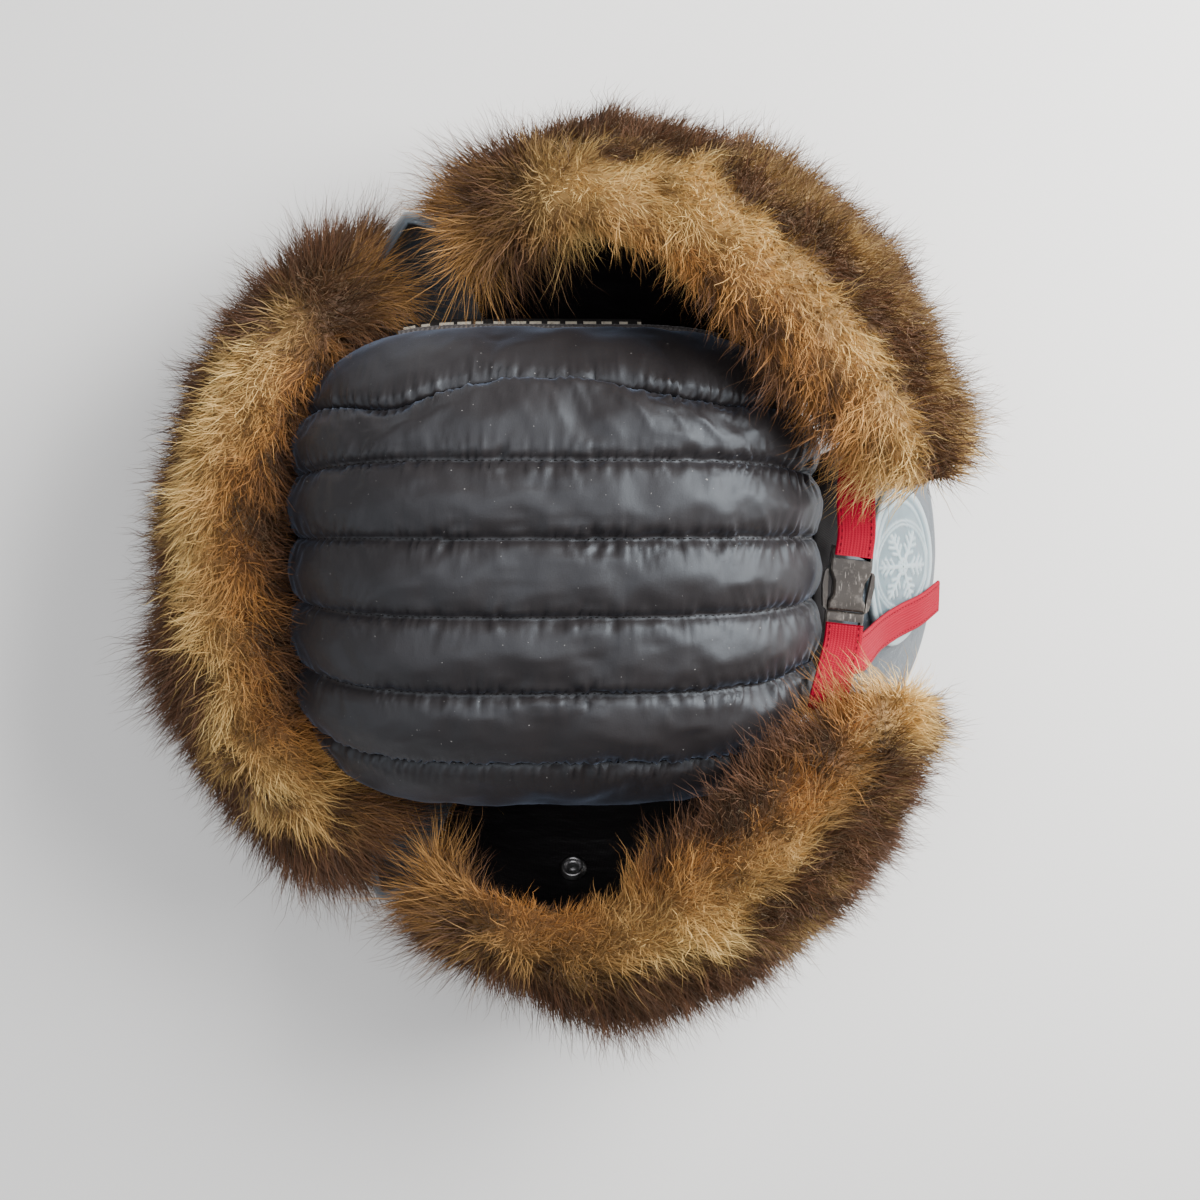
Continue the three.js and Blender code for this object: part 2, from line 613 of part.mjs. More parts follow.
// Buckle, lying in its own frame: webbing runs along Y, the right flap's side is +Y.
const SOCKET_OUTLINE = [
  { y: 16.5, half: 8.0 }, { y: 9, half: 8.4 }, { y: 6.5, half: 8.2 }, { y: 2.5, half: 6.2 },
  { y: -3, half: 5.9 }, { y: -6, half: 7.4 }, { y: -9, half: 7.4 },
];
const SOCKET_SLOT = { yFrom: 11.6, yTo: 14.2, half: 7 };
const PLUG_SLOT = { yFrom: -15.6, yTo: -13, half: 6.4 };
const PLUG_BASE = { yFrom: -18, yTo: -9.4, half: 7.6 };
const PRONG_ROOT = { inner: 5, outer: 7.5, y: -12 };
const PRONG = [
  { y: -9.6, inner: 7.4, outer: 7.6 }, { y: -8, inner: 7.8, outer: 9.2 }, { y: -4, inner: 7.9, outer: 9.8 },
  { y: 1.5, inner: 8.3, outer: 10.4 }, { y: 6, inner: 8.7, outer: 10 }, { y: 7, inner: 8.7, outer: 9.4 },
];

const rectangle = ({ yFrom, yTo, half }) => [
  new THREE.Vector2(-half, yFrom), new THREE.Vector2(half, yFrom),
  new THREE.Vector2(half, yTo), new THREE.Vector2(-half, yTo),
];

function plate(outline, holes, thick, bevel) {
  const shape = new THREE.Shape(outline);
  shape.holes = holes.map((hole) => new THREE.Path(hole));
  const settings = { depth: thick - 2 * bevel, bevelEnabled: bevel > 0, bevelSegments: 1 };
  Object.assign(settings, { bevelSize: bevel, bevelOffset: -bevel, bevelThickness: bevel });
  const geometry = new THREE.ExtrudeGeometry(shape, settings);
  geometry.translate(0, 0, -thick / 2 + bevel);
  return geometry;
}

function socketBody() {
  const right = SOCKET_OUTLINE.map(({ y, half }) => new THREE.Vector2(half, y));
  const left = SOCKET_OUTLINE.map(({ y, half }) => new THREE.Vector2(-half, y)).reverse();
  const body = toManifold(plate([...right, ...left], [], BUCKLE_THICK, 0.8));
  const slot = toManifold(plate(rectangle(SOCKET_SLOT), [], 2 * BUCKLE_THICK, 0));
  return fromManifold(body.subtract(slot));
}

function plugBody() {
  const thick = BUCKLE_THICK - 2;
  const slot = toManifold(plate(rectangle(PLUG_SLOT), [], 2 * BUCKLE_THICK, 0));
  let body = toManifold(plate(rectangle(PLUG_BASE), [], thick, 0.6)).subtract(slot);
  for (const turn of [-1, 1]) {
    const outer = PRONG.map(({ y, outer: x }) => new THREE.Vector2(turn * x, y));
    const inner = PRONG.map(({ y, inner: x }) => new THREE.Vector2(turn * x, y)).reverse();
    const root = [
      new THREE.Vector2(turn * PRONG_ROOT.inner, PLUG_BASE.yTo),
      new THREE.Vector2(turn * PRONG_ROOT.inner, PRONG_ROOT.y),
      new THREE.Vector2(turn * PRONG_ROOT.outer, PRONG_ROOT.y),
    ];
    body = body.add(toManifold(plate([...outer, ...inner, ...root].reverse(), [], thick - 1, 0)));
  }
  return fromManifold(body);
}

// Assembly

const hat = new THREE.Group();

function piece(name, geometry, material, parent = hat) {
  const mesh = new THREE.Mesh(geometry, material);
  mesh.name = name;
  parent.add(mesh);
  return mesh;
}

const crown = crownBodies();
piece('crown_panel', crown.middle, quiltNylon);
piece('side_panel_right', crown.right, quiltNylon);
piece('side_panel_left', crown.left, quiltNylon);
piece('side_piping_right', sideTrim(1, PIPING_HEIGHT, PIPING_SPAN, 14, pipingSection()), quiltNylon);
piece('side_piping_left', sideTrim(-1, PIPING_HEIGHT, PIPING_SPAN, 14, pipingSection()), quiltNylon);
piece('dash_tape', sideTrim(1, PIPING_HEIGHT, TAPE_SPAN, 12, tapeSection()), satin);

piece('front_flap', flapCloth(FRONT_FLAP, FLAP_STEP, 5), shellCloth);
piece('front_flap_fur', flapFur(FRONT_FLAP, 1, 5), fur);
piece('ear_flap_right', flapCloth(EAR_FLAP_RIGHT, FLAP_STEP, 6), satin);
piece('ear_flap_right_fur', flapFur(EAR_FLAP_RIGHT, -1, 6), fur);
piece('ear_flap_left', flapCloth(EAR_FLAP_LEFT, FLAP_STEP, 6), satin);
piece('ear_flap_left_fur', flapFur(EAR_FLAP_LEFT, 1, 6), fur);
piece('gusset_right', flapCloth(GUSSET_RIGHT, 4, 4), shellCloth);
piece('gusset_left', flapCloth(GUSSET_LEFT, 4, 4), shellCloth);
piece('neck_flap', flapCloth(NECK_FLAP, 5, 9), shellCloth);
piece('back_patch', patchBody(), rubber);

const snapPlace = seat(EAR_FLAP_LEFT, -87, 0.3, -(CLOTH / 2 + GAP + SNAP_BOW));
const snap = piece('snap_button', snapBody(), metal);
snap.position.copy(snapPlace.at);
snap.quaternion.setFromUnitVectors(new THREE.Vector3(0, 1, 0), snapPlace.face);

const buckle = new THREE.Group();
buckle.position.copy(BUCKLE_AT);
buckle.rotation.z = BUCKLE_TURN;
hat.add(buckle);
piece('buckle_socket', socketBody(), plastic, buckle);
piece('buckle_plug', plugBody(), plastic, buckle);

// Straps: from each slot of the buckle to the inside of a flap, and the loose tail.
const up = new THREE.Vector3(0, 0, 1);
const onBuckle = (x, y, z) => {
  const at = new THREE.Vector3(x, y, z).applyAxisAngle(up, BUCKLE_TURN).add(BUCKLE_AT);
  return { at, face: up };
};
const strapOff = -(CLOTH / 2 + GAP + WEB_THICK / 2 + STRAP_BOW);
const over = BUCKLE_THICK / 2 + GAP + WEB_THICK / 2;
const inward = new THREE.Vector3(-1, 0, 0);
const towards = (place, way, share) => ({ at: place.at, face: place.face.clone().lerp(way, share).normalize() });
const turned = (place, share) => towards(place, up, share);
const leaning = (place, share) => towards(place, inward, share);
piece('strap_upper', ribbon([
  onBuckle(0, 13, over), onBuckle(0, 22, over), leaning(onBuckle(-2, 34, over + 1), 0.12),
  leaning(onBuckle(-3, 46, over + 1), 0.32), turned(seat(EAR_FLAP_RIGHT, 26, 0.73, strapOff - 9), 0.4),
  turned(seat(EAR_FLAP_RIGHT, 29, 0.73, strapOff - 2), 0.08),
  seat(EAR_FLAP_RIGHT, 33, 0.73, strapOff), seat(EAR_FLAP_RIGHT, 37, 0.73, strapOff),
]), webbing);
piece('strap_lower', ribbon([
  onBuckle(0, -14, over - 1), onBuckle(0, -22, over - 1), onBuckle(-2, -34, over + 2),
  onBuckle(-4, -46, over + 5), turned(seat(EAR_FLAP_LEFT, -32, 0.73, strapOff - 11), 0.5),
  turned(seat(EAR_FLAP_LEFT, -37, 0.73, strapOff - 4), 0.2),
  seat(EAR_FLAP_LEFT, -42, 0.73, strapOff), seat(EAR_FLAP_LEFT, -47, 0.73, strapOff),
]), webbing);
const tailOff = CLOTH / 2 + PATCH.lift + PATCH.border + GAP + WEB_THICK / 2 + 0.6;
piece('strap_tail', ribbon([
  onBuckle(4, -27, -3), onBuckle(9, -27, -8), seat(NECK_FLAP, -12, 0.42, tailOff + 4),
  seat(NECK_FLAP, -10, 0.6, tailOff), seat(NECK_FLAP, -8, 0.78, tailOff), seat(NECK_FLAP, -6, 0.93, tailOff),
]), webbing);

export default hat;
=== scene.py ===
# %% [markdown]
# # A padded hat with fur ear flaps
#
# The hat lies on its rim, with its fur flaps folded up round a quilted crown. A red strap with a
# side-release buckle joins the tips of the two ear flaps behind the crown.
#
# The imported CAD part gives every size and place. Each soft piece is built again here from the
# same formulas, fine enough to show padding, folds, stitches and single hairs.

# %% The fixed frame and the shared tools
import json
import math

import bmesh
import bpy
import numpy as np
from mathutils import Matrix, Vector, noise

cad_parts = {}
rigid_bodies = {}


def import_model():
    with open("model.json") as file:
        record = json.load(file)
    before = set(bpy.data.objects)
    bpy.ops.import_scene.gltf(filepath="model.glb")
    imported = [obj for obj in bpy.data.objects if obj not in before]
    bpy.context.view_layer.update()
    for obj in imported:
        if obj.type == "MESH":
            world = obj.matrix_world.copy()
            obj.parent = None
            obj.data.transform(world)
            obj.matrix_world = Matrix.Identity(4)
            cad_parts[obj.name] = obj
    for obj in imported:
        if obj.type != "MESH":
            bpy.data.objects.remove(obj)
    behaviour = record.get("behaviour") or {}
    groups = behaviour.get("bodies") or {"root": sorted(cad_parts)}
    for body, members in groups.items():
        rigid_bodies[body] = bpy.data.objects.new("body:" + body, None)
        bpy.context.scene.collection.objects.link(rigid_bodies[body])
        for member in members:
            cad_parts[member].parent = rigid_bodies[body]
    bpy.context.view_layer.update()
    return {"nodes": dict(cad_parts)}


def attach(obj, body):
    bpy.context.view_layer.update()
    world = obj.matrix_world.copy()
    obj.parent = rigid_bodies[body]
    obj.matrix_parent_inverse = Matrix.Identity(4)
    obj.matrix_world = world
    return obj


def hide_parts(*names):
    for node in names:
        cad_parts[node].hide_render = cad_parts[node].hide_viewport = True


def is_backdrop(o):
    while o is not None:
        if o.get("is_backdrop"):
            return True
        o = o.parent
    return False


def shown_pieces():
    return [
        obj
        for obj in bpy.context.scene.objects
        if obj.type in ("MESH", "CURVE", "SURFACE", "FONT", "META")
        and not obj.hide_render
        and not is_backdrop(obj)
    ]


for leftover in list(bpy.data.objects):
    bpy.data.objects.remove(leftover)
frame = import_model()
MM = 0.001

# %% [markdown]
# ## Camera
#
# The view is a hand-held look nearly straight down, a little off the vertical. A lens of about
# 49 mm on a 36 mm sensor, 750 mm above the floor, gives the same narrowing of the crown's walls
# as a picture taken at arm's length. Aiming the camera, without any lens shift, keeps other
# views of the hat centred as well.

# %% Camera nearly overhead
CAMERA_AT = Vector((0.4, 49.8, 750)) * MM
CAMERA_AIM = Vector((21.2, -17.1, 0)) * MM  # what the middle of the image looks at
LENS = 48.96
SENSOR = 36


def facing(at, aim, up=(0, 1, 0)):
    """The rotation of a camera or light at a place that looks at aim, with up at the image's top."""
    back = (Vector(at) - Vector(aim)).normalized()
    right = Vector(up).cross(back).normalized()
    return Matrix((right, back.cross(right), back)).transposed().to_euler()


def add_camera():
    data = bpy.data.cameras.new("overhead")
    data.lens = LENS
    data.sensor_width = SENSOR
    camera = bpy.data.objects.new("overhead", data)
    camera.location = CAMERA_AT
    camera.rotation_euler = facing(CAMERA_AT, CAMERA_AIM)
    bpy.context.scene.collection.objects.link(camera)
    bpy.context.scene.camera = camera


add_camera()
print("camera tilt:", round(math.degrees((CAMERA_AIM - CAMERA_AT).angle(Vector((0, 0, -1)))), 1))

# %% [markdown]
# ## Floor and light
#
# Plain studio conditions: a pale floor that fills the view, one large soft light from the right
# that gives the nylon its sheen and brightens the fur there, a weaker one from above, and an
# even, dim surround for the shadows.

# %% Floor and studio light
FLOOR_HALF = 3.0
LIGHTS = [  # name, place and aim in metres, width in metres, power in watts, colour
    ("key_right", (0.75, 0.42, 0.62), (0.03, 0.0, 0.08), 0.8, 33.0, (1.0, 0.985, 0.96)),
    ("top_soft", (-0.15, 0.15, 1.3), (0.0, 0.0, 0.08), 1.0, 9.0, (0.98, 0.98, 1.0)),
    ("fill_left", (-0.9, -0.5, 0.7), (0.0, 0.0, 0.05), 0.8, 2.5, (0.95, 0.97, 1.0)),
]
SURROUND = (0.78, 0.77, 0.76)
SURROUND_POWER = 0.36


def add_light(name, at, aim, width, power, colour):
    data = bpy.data.lights.new(name, "AREA")
    data.shape = "SQUARE"
    data.size = width
    data.energy = power
    data.color = colour
    light = bpy.data.objects.new(name, data)
    light.location = at
    light.rotation_euler = facing(at, aim)
    bpy.context.scene.collection.objects.link(light)


for row in LIGHTS:
    add_light(*row)
world = bpy.data.worlds.new("surround")
world.use_nodes = True
surround = world.node_tree.nodes["Background"]
surround.inputs["Color"].default_value = (*SURROUND, 1)
surround.inputs["Strength"].default_value = SURROUND_POWER
bpy.context.scene.world = world
print("lights:", [row[0] for row in LIGHTS])

# %% [markdown]
# ## Nodes as Python expressions
#
# Shader nodes and geometry nodes share most of their maths. One small class wraps a socket and
# overloads the operators, so a mask is written as `1 - edge * 0.5` and adds its own Math nodes.
# Every other node comes from one method that takes its type, its settings and its inputs.

# %% Wire and Board
class Wire:
    """An output socket that can be used in an expression on numbers."""

    def __init__(self, board, socket):
        self.board = board
        self.socket = socket

    def maths(self, operation, *values):
        return self.board.node("ShaderNodeMath", {"operation": operation}, dict(enumerate(values)))

    def __add__(self, other):
        return self.maths("ADD", self, other)

    def __sub__(self, other):
        return self.maths("SUBTRACT", self, other)

    def __rsub__(self, other):
        return self.maths("SUBTRACT", other, self)

    def __mul__(self, other):
        return self.maths("MULTIPLY", self, other)

    def __truediv__(self, other):
        return self.maths("DIVIDE", self, other)

    def __rtruediv__(self, other):
        return self.maths("DIVIDE", other, self)

    def __pow__(self, other):
        return self.maths("POWER", self, other)

    def __lt__(self, other):
        return self.maths("LESS_THAN", self, other)

    def sine(self):
        return self.maths("SINE", self)

    def floor(self):
        return self.maths("FLOOR", self)

    def fraction(self):
        return self.maths("FRACT", self)

    def size(self):
        return self.maths("ABSOLUTE", self)

    def capped(self):
        return self.board.node("ShaderNodeClamp", {}, {"Value": self})

    __radd__ = __add__
    __rmul__ = __mul__


class Board:
    """A node tree of either kind, with one method that adds a node and wires its inputs."""

    def __init__(self, tree):
        self.tree = tree

    def feed(self, socket, value):
        if isinstance(value, Wire):
            self.tree.links.new(value.socket, socket)
        else:
            socket.default_value = value

    def node(self, kind, settings=None, values=None, out=0):
        made = self.tree.nodes.new(kind)
        for name, value in (settings or {}).items():
            if name == "stops":
                self.set_stops(made.color_ramp, value)
            else:
                setattr(made, name, value)
        for name, value in (values or {}).items():
            self.feed(made.inputs[name], value)
        return Wire(self, made.outputs[out])

    def set_stops(self, ramp, stops):
        while len(ramp.elements) < len(stops):
            ramp.elements.new(0.5)
        for element, (place, grey) in zip(ramp.elements, stops):
            element.position = place
            element.color = (grey, grey, grey, 1)

    def vector_maths(self, operation, *values):
        return self.node("ShaderNodeVectorMath", {"operation": operation}, dict(enumerate(values)))


class Finish(Board):
    """A material in the making: a Principled shader and the nodes that feed it."""

    def __init__(self, name, **uniform):
        self.material = bpy.data.materials.new(name)
        self.material.use_nodes = True
        super().__init__(self.material.node_tree)
        self.shader = self.tree.nodes["Principled BSDF"]
        for socket, value in uniform.items():
            self.feed(self.shader.inputs[socket.replace("_", " ")], value)

    def give(self, socket, wire):
        self.feed(self.shader.inputs[socket], wire)

    def place(self):
        return self.node("ShaderNodeTexCoord", {}, {}, "Object")

    def cloth_map(self, part):
        """One coordinate of the piece's own map, in mm."""
        uv = self.node("ShaderNodeTexCoord", {}, {}, "UV")
        return self.node("ShaderNodeSeparateXYZ", {}, {0: uv}, part)

    def attribute(self, name):
        return self.node("ShaderNodeAttribute", {"attribute_name": name}, {}, "Fac")

    def noise(self, where, scale, detail=3, roughness=0.5):
        values = {"Vector": where, "Scale": scale, "Detail": detail, "Roughness": roughness}
        return self.node("ShaderNodeTexNoise", {}, values, "Fac")

    def stretched(self, where, factors):
        return self.node("ShaderNodeMapping", {}, {"Vector": where, "Scale": factors})

    def mix(self, factor, first, second):
        values = {0: factor, 6: first, 7: second}
        return self.node("ShaderNodeMix", {"data_type": "RGBA"}, values, 2)

    def ramp(self, factor, stops):
        return self.node("ShaderNodeValToRGB", {"stops": stops}, {"Fac": factor})

    def bump(self, height, distance, strength=1.0, below=None):
        values = {"Height": height, "Distance": distance, "Strength": strength}
        if below is not None:
            values["Normal"] = below
        return self.node("ShaderNodeBump", {}, values)


print("socket classes ready")

# %% [markdown]
# ## Helpers for meshes
#
# Shapes are worked out in millimetres, as arrays of points, and become metres only when a mesh
# is made. A finished piece's object sits at the origin, so its place is all in its mesh. A piece
# can keep a map in millimetres along and across its cloth, which its weave then follows.

# %% From arrays of points to a finished piece
def grid_faces(rows, columns, wrap=False):
    """Quads over a grid of points that is listed row by row."""
    i, j = np.meshgrid(np.arange(rows - 1), np.arange(columns - (0 if wrap else 1)), indexing="ij")
    i, j = i.ravel(), j.ravel()
    right = (j + 1) % columns
    below = (i + 1) * columns
    return np.stack([i * columns + j, below + j, below + right, i * columns + right], axis=1)


def new_piece(name, points, faces, material, maps=None, attributes=None, smooth=True):
    """A mesh object from points in mm; maps gives each point its (along, across) in mm."""
    mesh = bpy.data.meshes.new(name)
    mesh.from_pydata((np.asarray(points, float) * MM).tolist(), [], [list(map(int, f)) for f in faces])
    if maps is not None:
        layer = mesh.uv_layers.new(name="cloth")
        corners = np.zeros(len(mesh.loops), np.int32)
        mesh.loops.foreach_get("vertex_index", corners)
        layer.data.foreach_set("uv", np.asarray(maps, np.float32)[corners].ravel())
    for key, values in (attributes or {}).items():
        vector = np.ndim(values) == 2
        made = mesh.attributes.new(key, "FLOAT_VECTOR" if vector else "FLOAT", "POINT")
        made.data.foreach_set("vector" if vector else "value", np.asarray(values, np.float32).ravel())
    if material is not None:
        mesh.materials.append(material)
    if smooth:
        mesh.shade_smooth()
    mesh.update()
    piece = bpy.data.objects.new(name, mesh)
    bpy.context.scene.collection.objects.link(piece)
    return piece


def settle(piece, slot, *nodes):
    """The piece rides on the hat's one body and stands for these CAD nodes."""
    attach(piece, "root")
    if nodes:
        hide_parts(*nodes)
    triangles = sum(len(p.vertices) - 2 for p in piece.data.polygons)
    print(f"{piece.name}: {triangles} triangles")
    return piece


def closed_wall(outer, inner, faces):
    """Points and faces of a closed wall between two surfaces that share their faces."""
    count = len(outer)
    edges = np.concatenate([np.stack([faces[:, k], faces[:, (k + 1) % 4]], axis=1) for k in range(4)])
    known = {(a, b) for a, b in edges.tolist()}
    rim = [(a, b) for a, b in edges.tolist() if (b, a) not in known]
    sides = [[b, a, a + count, b + count] for a, b in rim]
    return np.concatenate([outer, inner]), faces.tolist() + (faces[:, ::-1] + count).tolist() + sides


def bumps(points, size, seed, octaves=3):
    """Smooth noise from -1 to 1 at each point in mm, with lumps of about that size."""
    shift = Vector((seed * 7.31, seed * 3.77, seed * 5.13))
    flat = np.asarray(points, float).reshape(-1, 3) / size
    values = [noise.fractal(Vector(p) + shift, 1.0, 2.0, octaves) for p in flat]
    return np.array(values).reshape(np.asarray(points).shape[:-1])


def smooth_step(value, low, high):
    """0 below low, 1 above high and a soft rise between them."""
    t = np.clip((value - low) / (high - low), 0, 1)
    return t * t * (3 - 2 * t)


print("mesh helpers ready")

# %% [markdown]
# ## Crown: the shape under the padding
#
# A quilted crown is a dome of cloth sewn in lines: five channels run from front to back and a
# padded panel closes each side. The dome is a superellipse in both directions, and the wall
# below it keeps its outline and draws in a little towards the rim. These are the formulas that
# the CAD part was made with, so the cloth lies exactly where its solid is.

# %% Dome, wall and swell
CROWN_X = 0.92  # the crown's middle
CROWN_Y = 3.76
HALF_LENGTH = 105
HALF_WIDTH = 96
CROWN_TOP = 145.5
SHOULDER = 78
RIM_SCALE = 0.94
RIM_SWELL = 0.35  # share of the swell that is left at the rim
CORNER_ROUND = 0.16
CORNER_POWER = 5
DOME_POWER = 3
WALL = 7  # thickness of the padded wall
CHANNELS = 5
CHANNEL_PITCH = 29.5
CHANNEL_SWELL = 4.5
SWELL_POWER = 0.8
SIDE_SWELL = 2.5
SEAM = CHANNELS * CHANNEL_PITCH / 2 / HALF_WIDTH
GAP = 0.3  # between pieces that touch


def swell(v):
    """How far the padding stands above the dome between two seams."""
    size = np.abs(v)
    side = SIDE_SWELL * np.sin(np.pi * np.clip((size - SEAM) / (1 - SEAM), 0, 1))
    part = (v + SEAM) / (2 * SEAM) * CHANNELS % 1
    channel = CHANNEL_SWELL * np.abs(np.sin(np.pi * part)) ** SWELL_POWER
    return np.where(size > SEAM, side, channel)


def dome(u, v, inset=0.0):
    """u runs from front (-1) to back (1) and v from left (-1) to right (1)."""
    x = CROWN_X + (HALF_LENGTH - inset) * u * (1 - CORNER_ROUND * np.abs(v) ** CORNER_POWER)
    y = CROWN_Y + (HALF_WIDTH - inset) * v * (1 - CORNER_ROUND * np.abs(u) ** CORNER_POWER)
    fall = (1 - np.abs(u) ** DOME_POWER) * (1 - np.abs(v) ** DOME_POWER)
    z = SHOULDER + (CROWN_TOP - inset - SHOULDER) * np.sqrt(np.clip(fall, 0, 1))
    return np.stack(np.broadcast_arrays(x, y, z), axis=-1)


def unit(vectors):
    return vectors / np.maximum(np.linalg.norm(vectors, axis=-1, keepdims=True), 1e-9)


def dome_normal(u, v, inset=0.0):
    near, step = 0.985, 0.005  # the border itself is too steep to measure a slope on
    along_u = dome(near * u + step, near * v, inset) - dome(near * u - step, near * v, inset)
    along_v = dome(near * u, near * v + step, inset) - dome(near * u, near * v - step, inset)
    return unit(np.cross(along_u, along_v))


def wall(u, v, z, inset=0.0, swollen=0.0):
    """A point of the wall below the dome's border point (u, v), at height z."""
    edge = dome(u, v, inset)
    out = dome_normal(u, v, inset) * (1, 1, 0)
    share = RIM_SWELL + (1 - RIM_SWELL) * np.maximum(z, 0) / SHOULDER
    edge = edge + unit(out) * np.asarray(swollen * share)[..., None]
    drawn = 1 - (1 - RIM_SCALE) * (1 - np.maximum(z, 0) / SHOULDER)
    x = CROWN_X + (edge[..., 0] - CROWN_X) * drawn
    y = CROWN_Y + (edge[..., 1] - CROWN_Y) * drawn
    return np.stack(np.broadcast_arrays(x, y, z), axis=-1)


def eased(count):
    """Steps from -1 to 1 that lie closer together towards both ends."""
    half = 1 - (1 - np.linspace(0, 1, count // 2 + 1)) ** 2
    return np.concatenate([-half[:0:-1], half])


print("seams at", [round(SEAM * (2 * k / CHANNELS - 1) * HALF_WIDTH) for k in range(CHANNELS + 1)], "mm")

# %% [markdown]
# ## Crown: padding by cloth simulation
#
# The nylon between two rows of stitches is longer than the row itself, because sewing draws the
# seam together. That is what makes the puckers. Blender's cloth gives the same: the sheet starts
# a little under its full swell, its points on the seams are pinned, the cloth grows by about two
# percent, and air pressure fills the channels. Gravity is off and the run is short. What is
# kept is only how far each point moved, and no point may move further than a cap.

# %% Simulated sheet
SHEET_U = 112  # cells from front to back
CHANNEL_CELLS = 12
SIDE_CELLS = 14
START_SWELL = 0.85  # share of the full swell before the simulation
RAGGED = 0.25  # height in mm of lumps that make each channel fill unevenly
RAGGED_SIZE = 22
CLOTH_GROWTH = 0.022
PRESSURE = 3.0
FRAMES = 26
MOVE_CAP = 3.4
CALMING = 2  # rounds of averaging along the channels
ARC_CALMING = 60  # rounds that turn the arc's table into a smooth curve
CLOTH_RULES = {
    "quality": 6,
    "mass": 0.15,
    "tension_stiffness": 18,
    "compression_stiffness": 18,
    "shear_stiffness": 8,
    "bending_stiffness": 0.8,
    "use_pressure": True,
    "uniform_pressure_force": PRESSURE,
}
# The sewn line of the right panel is an arc: (share from front to back, mm towards the middle).
PANEL_ARC = [
    (-1, 0), (-0.86, 4), (-0.62, 10.5), (-0.36, 1), (-0.12, -2.5), (0.14, -1), (0.4, 4), (0.66, 8),
    (0.86, 4), (1, 0),
]
ARC_REACH = (0.3, 0.22)  # how far the arc moves the cloth beside it, to the middle and to the side


def arched(u, v):
    """v after the right panel's sewn line has been drawn into its arc."""
    at, pull = zip(*PANEL_ARC)
    fine = np.linspace(-1, 1, 201)
    curve = np.interp(fine, at, pull)
    for _ in range(ARC_CALMING):
        curve[1:-1] = (curve[:-2] + 2 * curve[1:-1] + curve[2:]) / 4
    away = v - SEAM
    share = np.clip(np.abs(away) / np.where(away < 0, *ARC_REACH), 0, 1)
    return v - np.interp(u, fine, curve) / HALF_WIDTH * np.cos(np.pi / 2 * share) ** 2


def across_steps(channel_cells, side_cells):
    """Steps from the left border to the right one, with points on all the seams."""
    channels = np.linspace(-SEAM, SEAM, CHANNELS * channel_cells + 1)
    side = SEAM + (1 - SEAM) * (1 - (1 - np.linspace(0, 1, side_cells + 1)) ** 1.7)
    return np.concatenate([-side[:0:-1], channels, side[1:]])


def simulate_padding(start, pinned):
    """How far each point of a grid of cloth moves when it is filled, in mm."""
    rows, columns = pinned.shape
    sheet = new_piece("padding_trial", start.reshape(-1, 3), grid_faces(rows, columns), None)
    seams = sheet.vertex_groups.new(name="seams")
    seams.add(np.flatnonzero(pinned.ravel()).tolist(), 1.0, "REPLACE")
    cloth = sheet.modifiers.new("padding", "CLOTH")
    cloth.point_cache.frame_end = FRAMES
    rules = cloth.settings
    for name, value in CLOTH_RULES.items():
        setattr(rules, name, value)
    rules.effector_weights.gravity = 0
    rules.vertex_group_mass = "seams"
    rules.shrink_min = -CLOTH_GROWTH
    scene = bpy.context.scene
    for number in range(1, FRAMES + 1):
        scene.frame_set(number)
    shown = sheet.evaluated_get(bpy.context.evaluated_depsgraph_get())
    moved = np.zeros(rows * columns * 3, np.float32)
    shown.data.vertices.foreach_get("co", moved)
    scene.frame_set(1)
    bpy.data.objects.remove(sheet)
    shift = moved.reshape(rows, columns, 3) / MM - start
    for _ in range(CALMING):
        shift[1:-1] = (shift[:-2] + 2 * shift[1:-1] + shift[2:]) / 4
    far = np.linalg.norm(shift, axis=-1, keepdims=True)
    return shift * np.minimum(1, MOVE_CAP / np.maximum(far, 1e-6))


sheet_u = eased(SHEET_U)
sheet_v = across_steps(CHANNEL_CELLS, SIDE_CELLS)
U, V = np.meshgrid(sheet_u, sheet_v, indexing="ij")
ARCHED_V = arched(U, V)
ragged = RAGGED * bumps(dome(U, V), RAGGED_SIZE, seed=3)
start_height = START_SWELL * swell(V) + ragged * (swell(V) > 0.3)
start = dome(U, ARCHED_V) + dome_normal(U, ARCHED_V) * start_height[..., None]
on_seam = np.isclose(np.abs((V + SEAM) / (2 * SEAM) * CHANNELS % 1 - 0.5), 0.5, atol=0.02)
pinned = (on_seam & (np.abs(V) <= SEAM + 1e-6)) | (np.abs(V) > 0.999) | (np.abs(U) > 0.999)
moved = simulate_padding(start, pinned)
padded_sheet = start + moved
print("cloth moved up to", round(float(np.linalg.norm(moved, axis=-1).max()), 1), "mm")

# %% [markdown]
# ## Crown: stitches pull the cloth into puckers
#
# A stitch line sits one or two millimetres under the cloth beside it, and every stitch throws
# small ridges that run square to the seam and die out within a centimetre. The simulation gives the
# broad folds. The narrow ones are added to the finer mesh by formula: a ridge pattern whose
# pitch wanders along the seam, strongest on the right half and towards the back.

# %% Finer crown surface
DETAIL = 2  # each simulated cell becomes this many in each direction
STITCH_DEPTH = 1.8
GROOVE_WIDER = 3.2  # mm by which a valley between two puckers widens the groove
PUCKER_REACH = 5.0
PUCKER_HEIGHT = 1.8
PUCKER_PITCH = 8.6
FINE_PUCKER_PITCH = 5.3
GATHER_PITCH = 3.3  # on the right panel seam
GATHER_HEIGHT = 0.8
DRAPE_HEIGHT = 1.0  # long slanting folds below the right panel's line
DRAPE_PITCH = 15


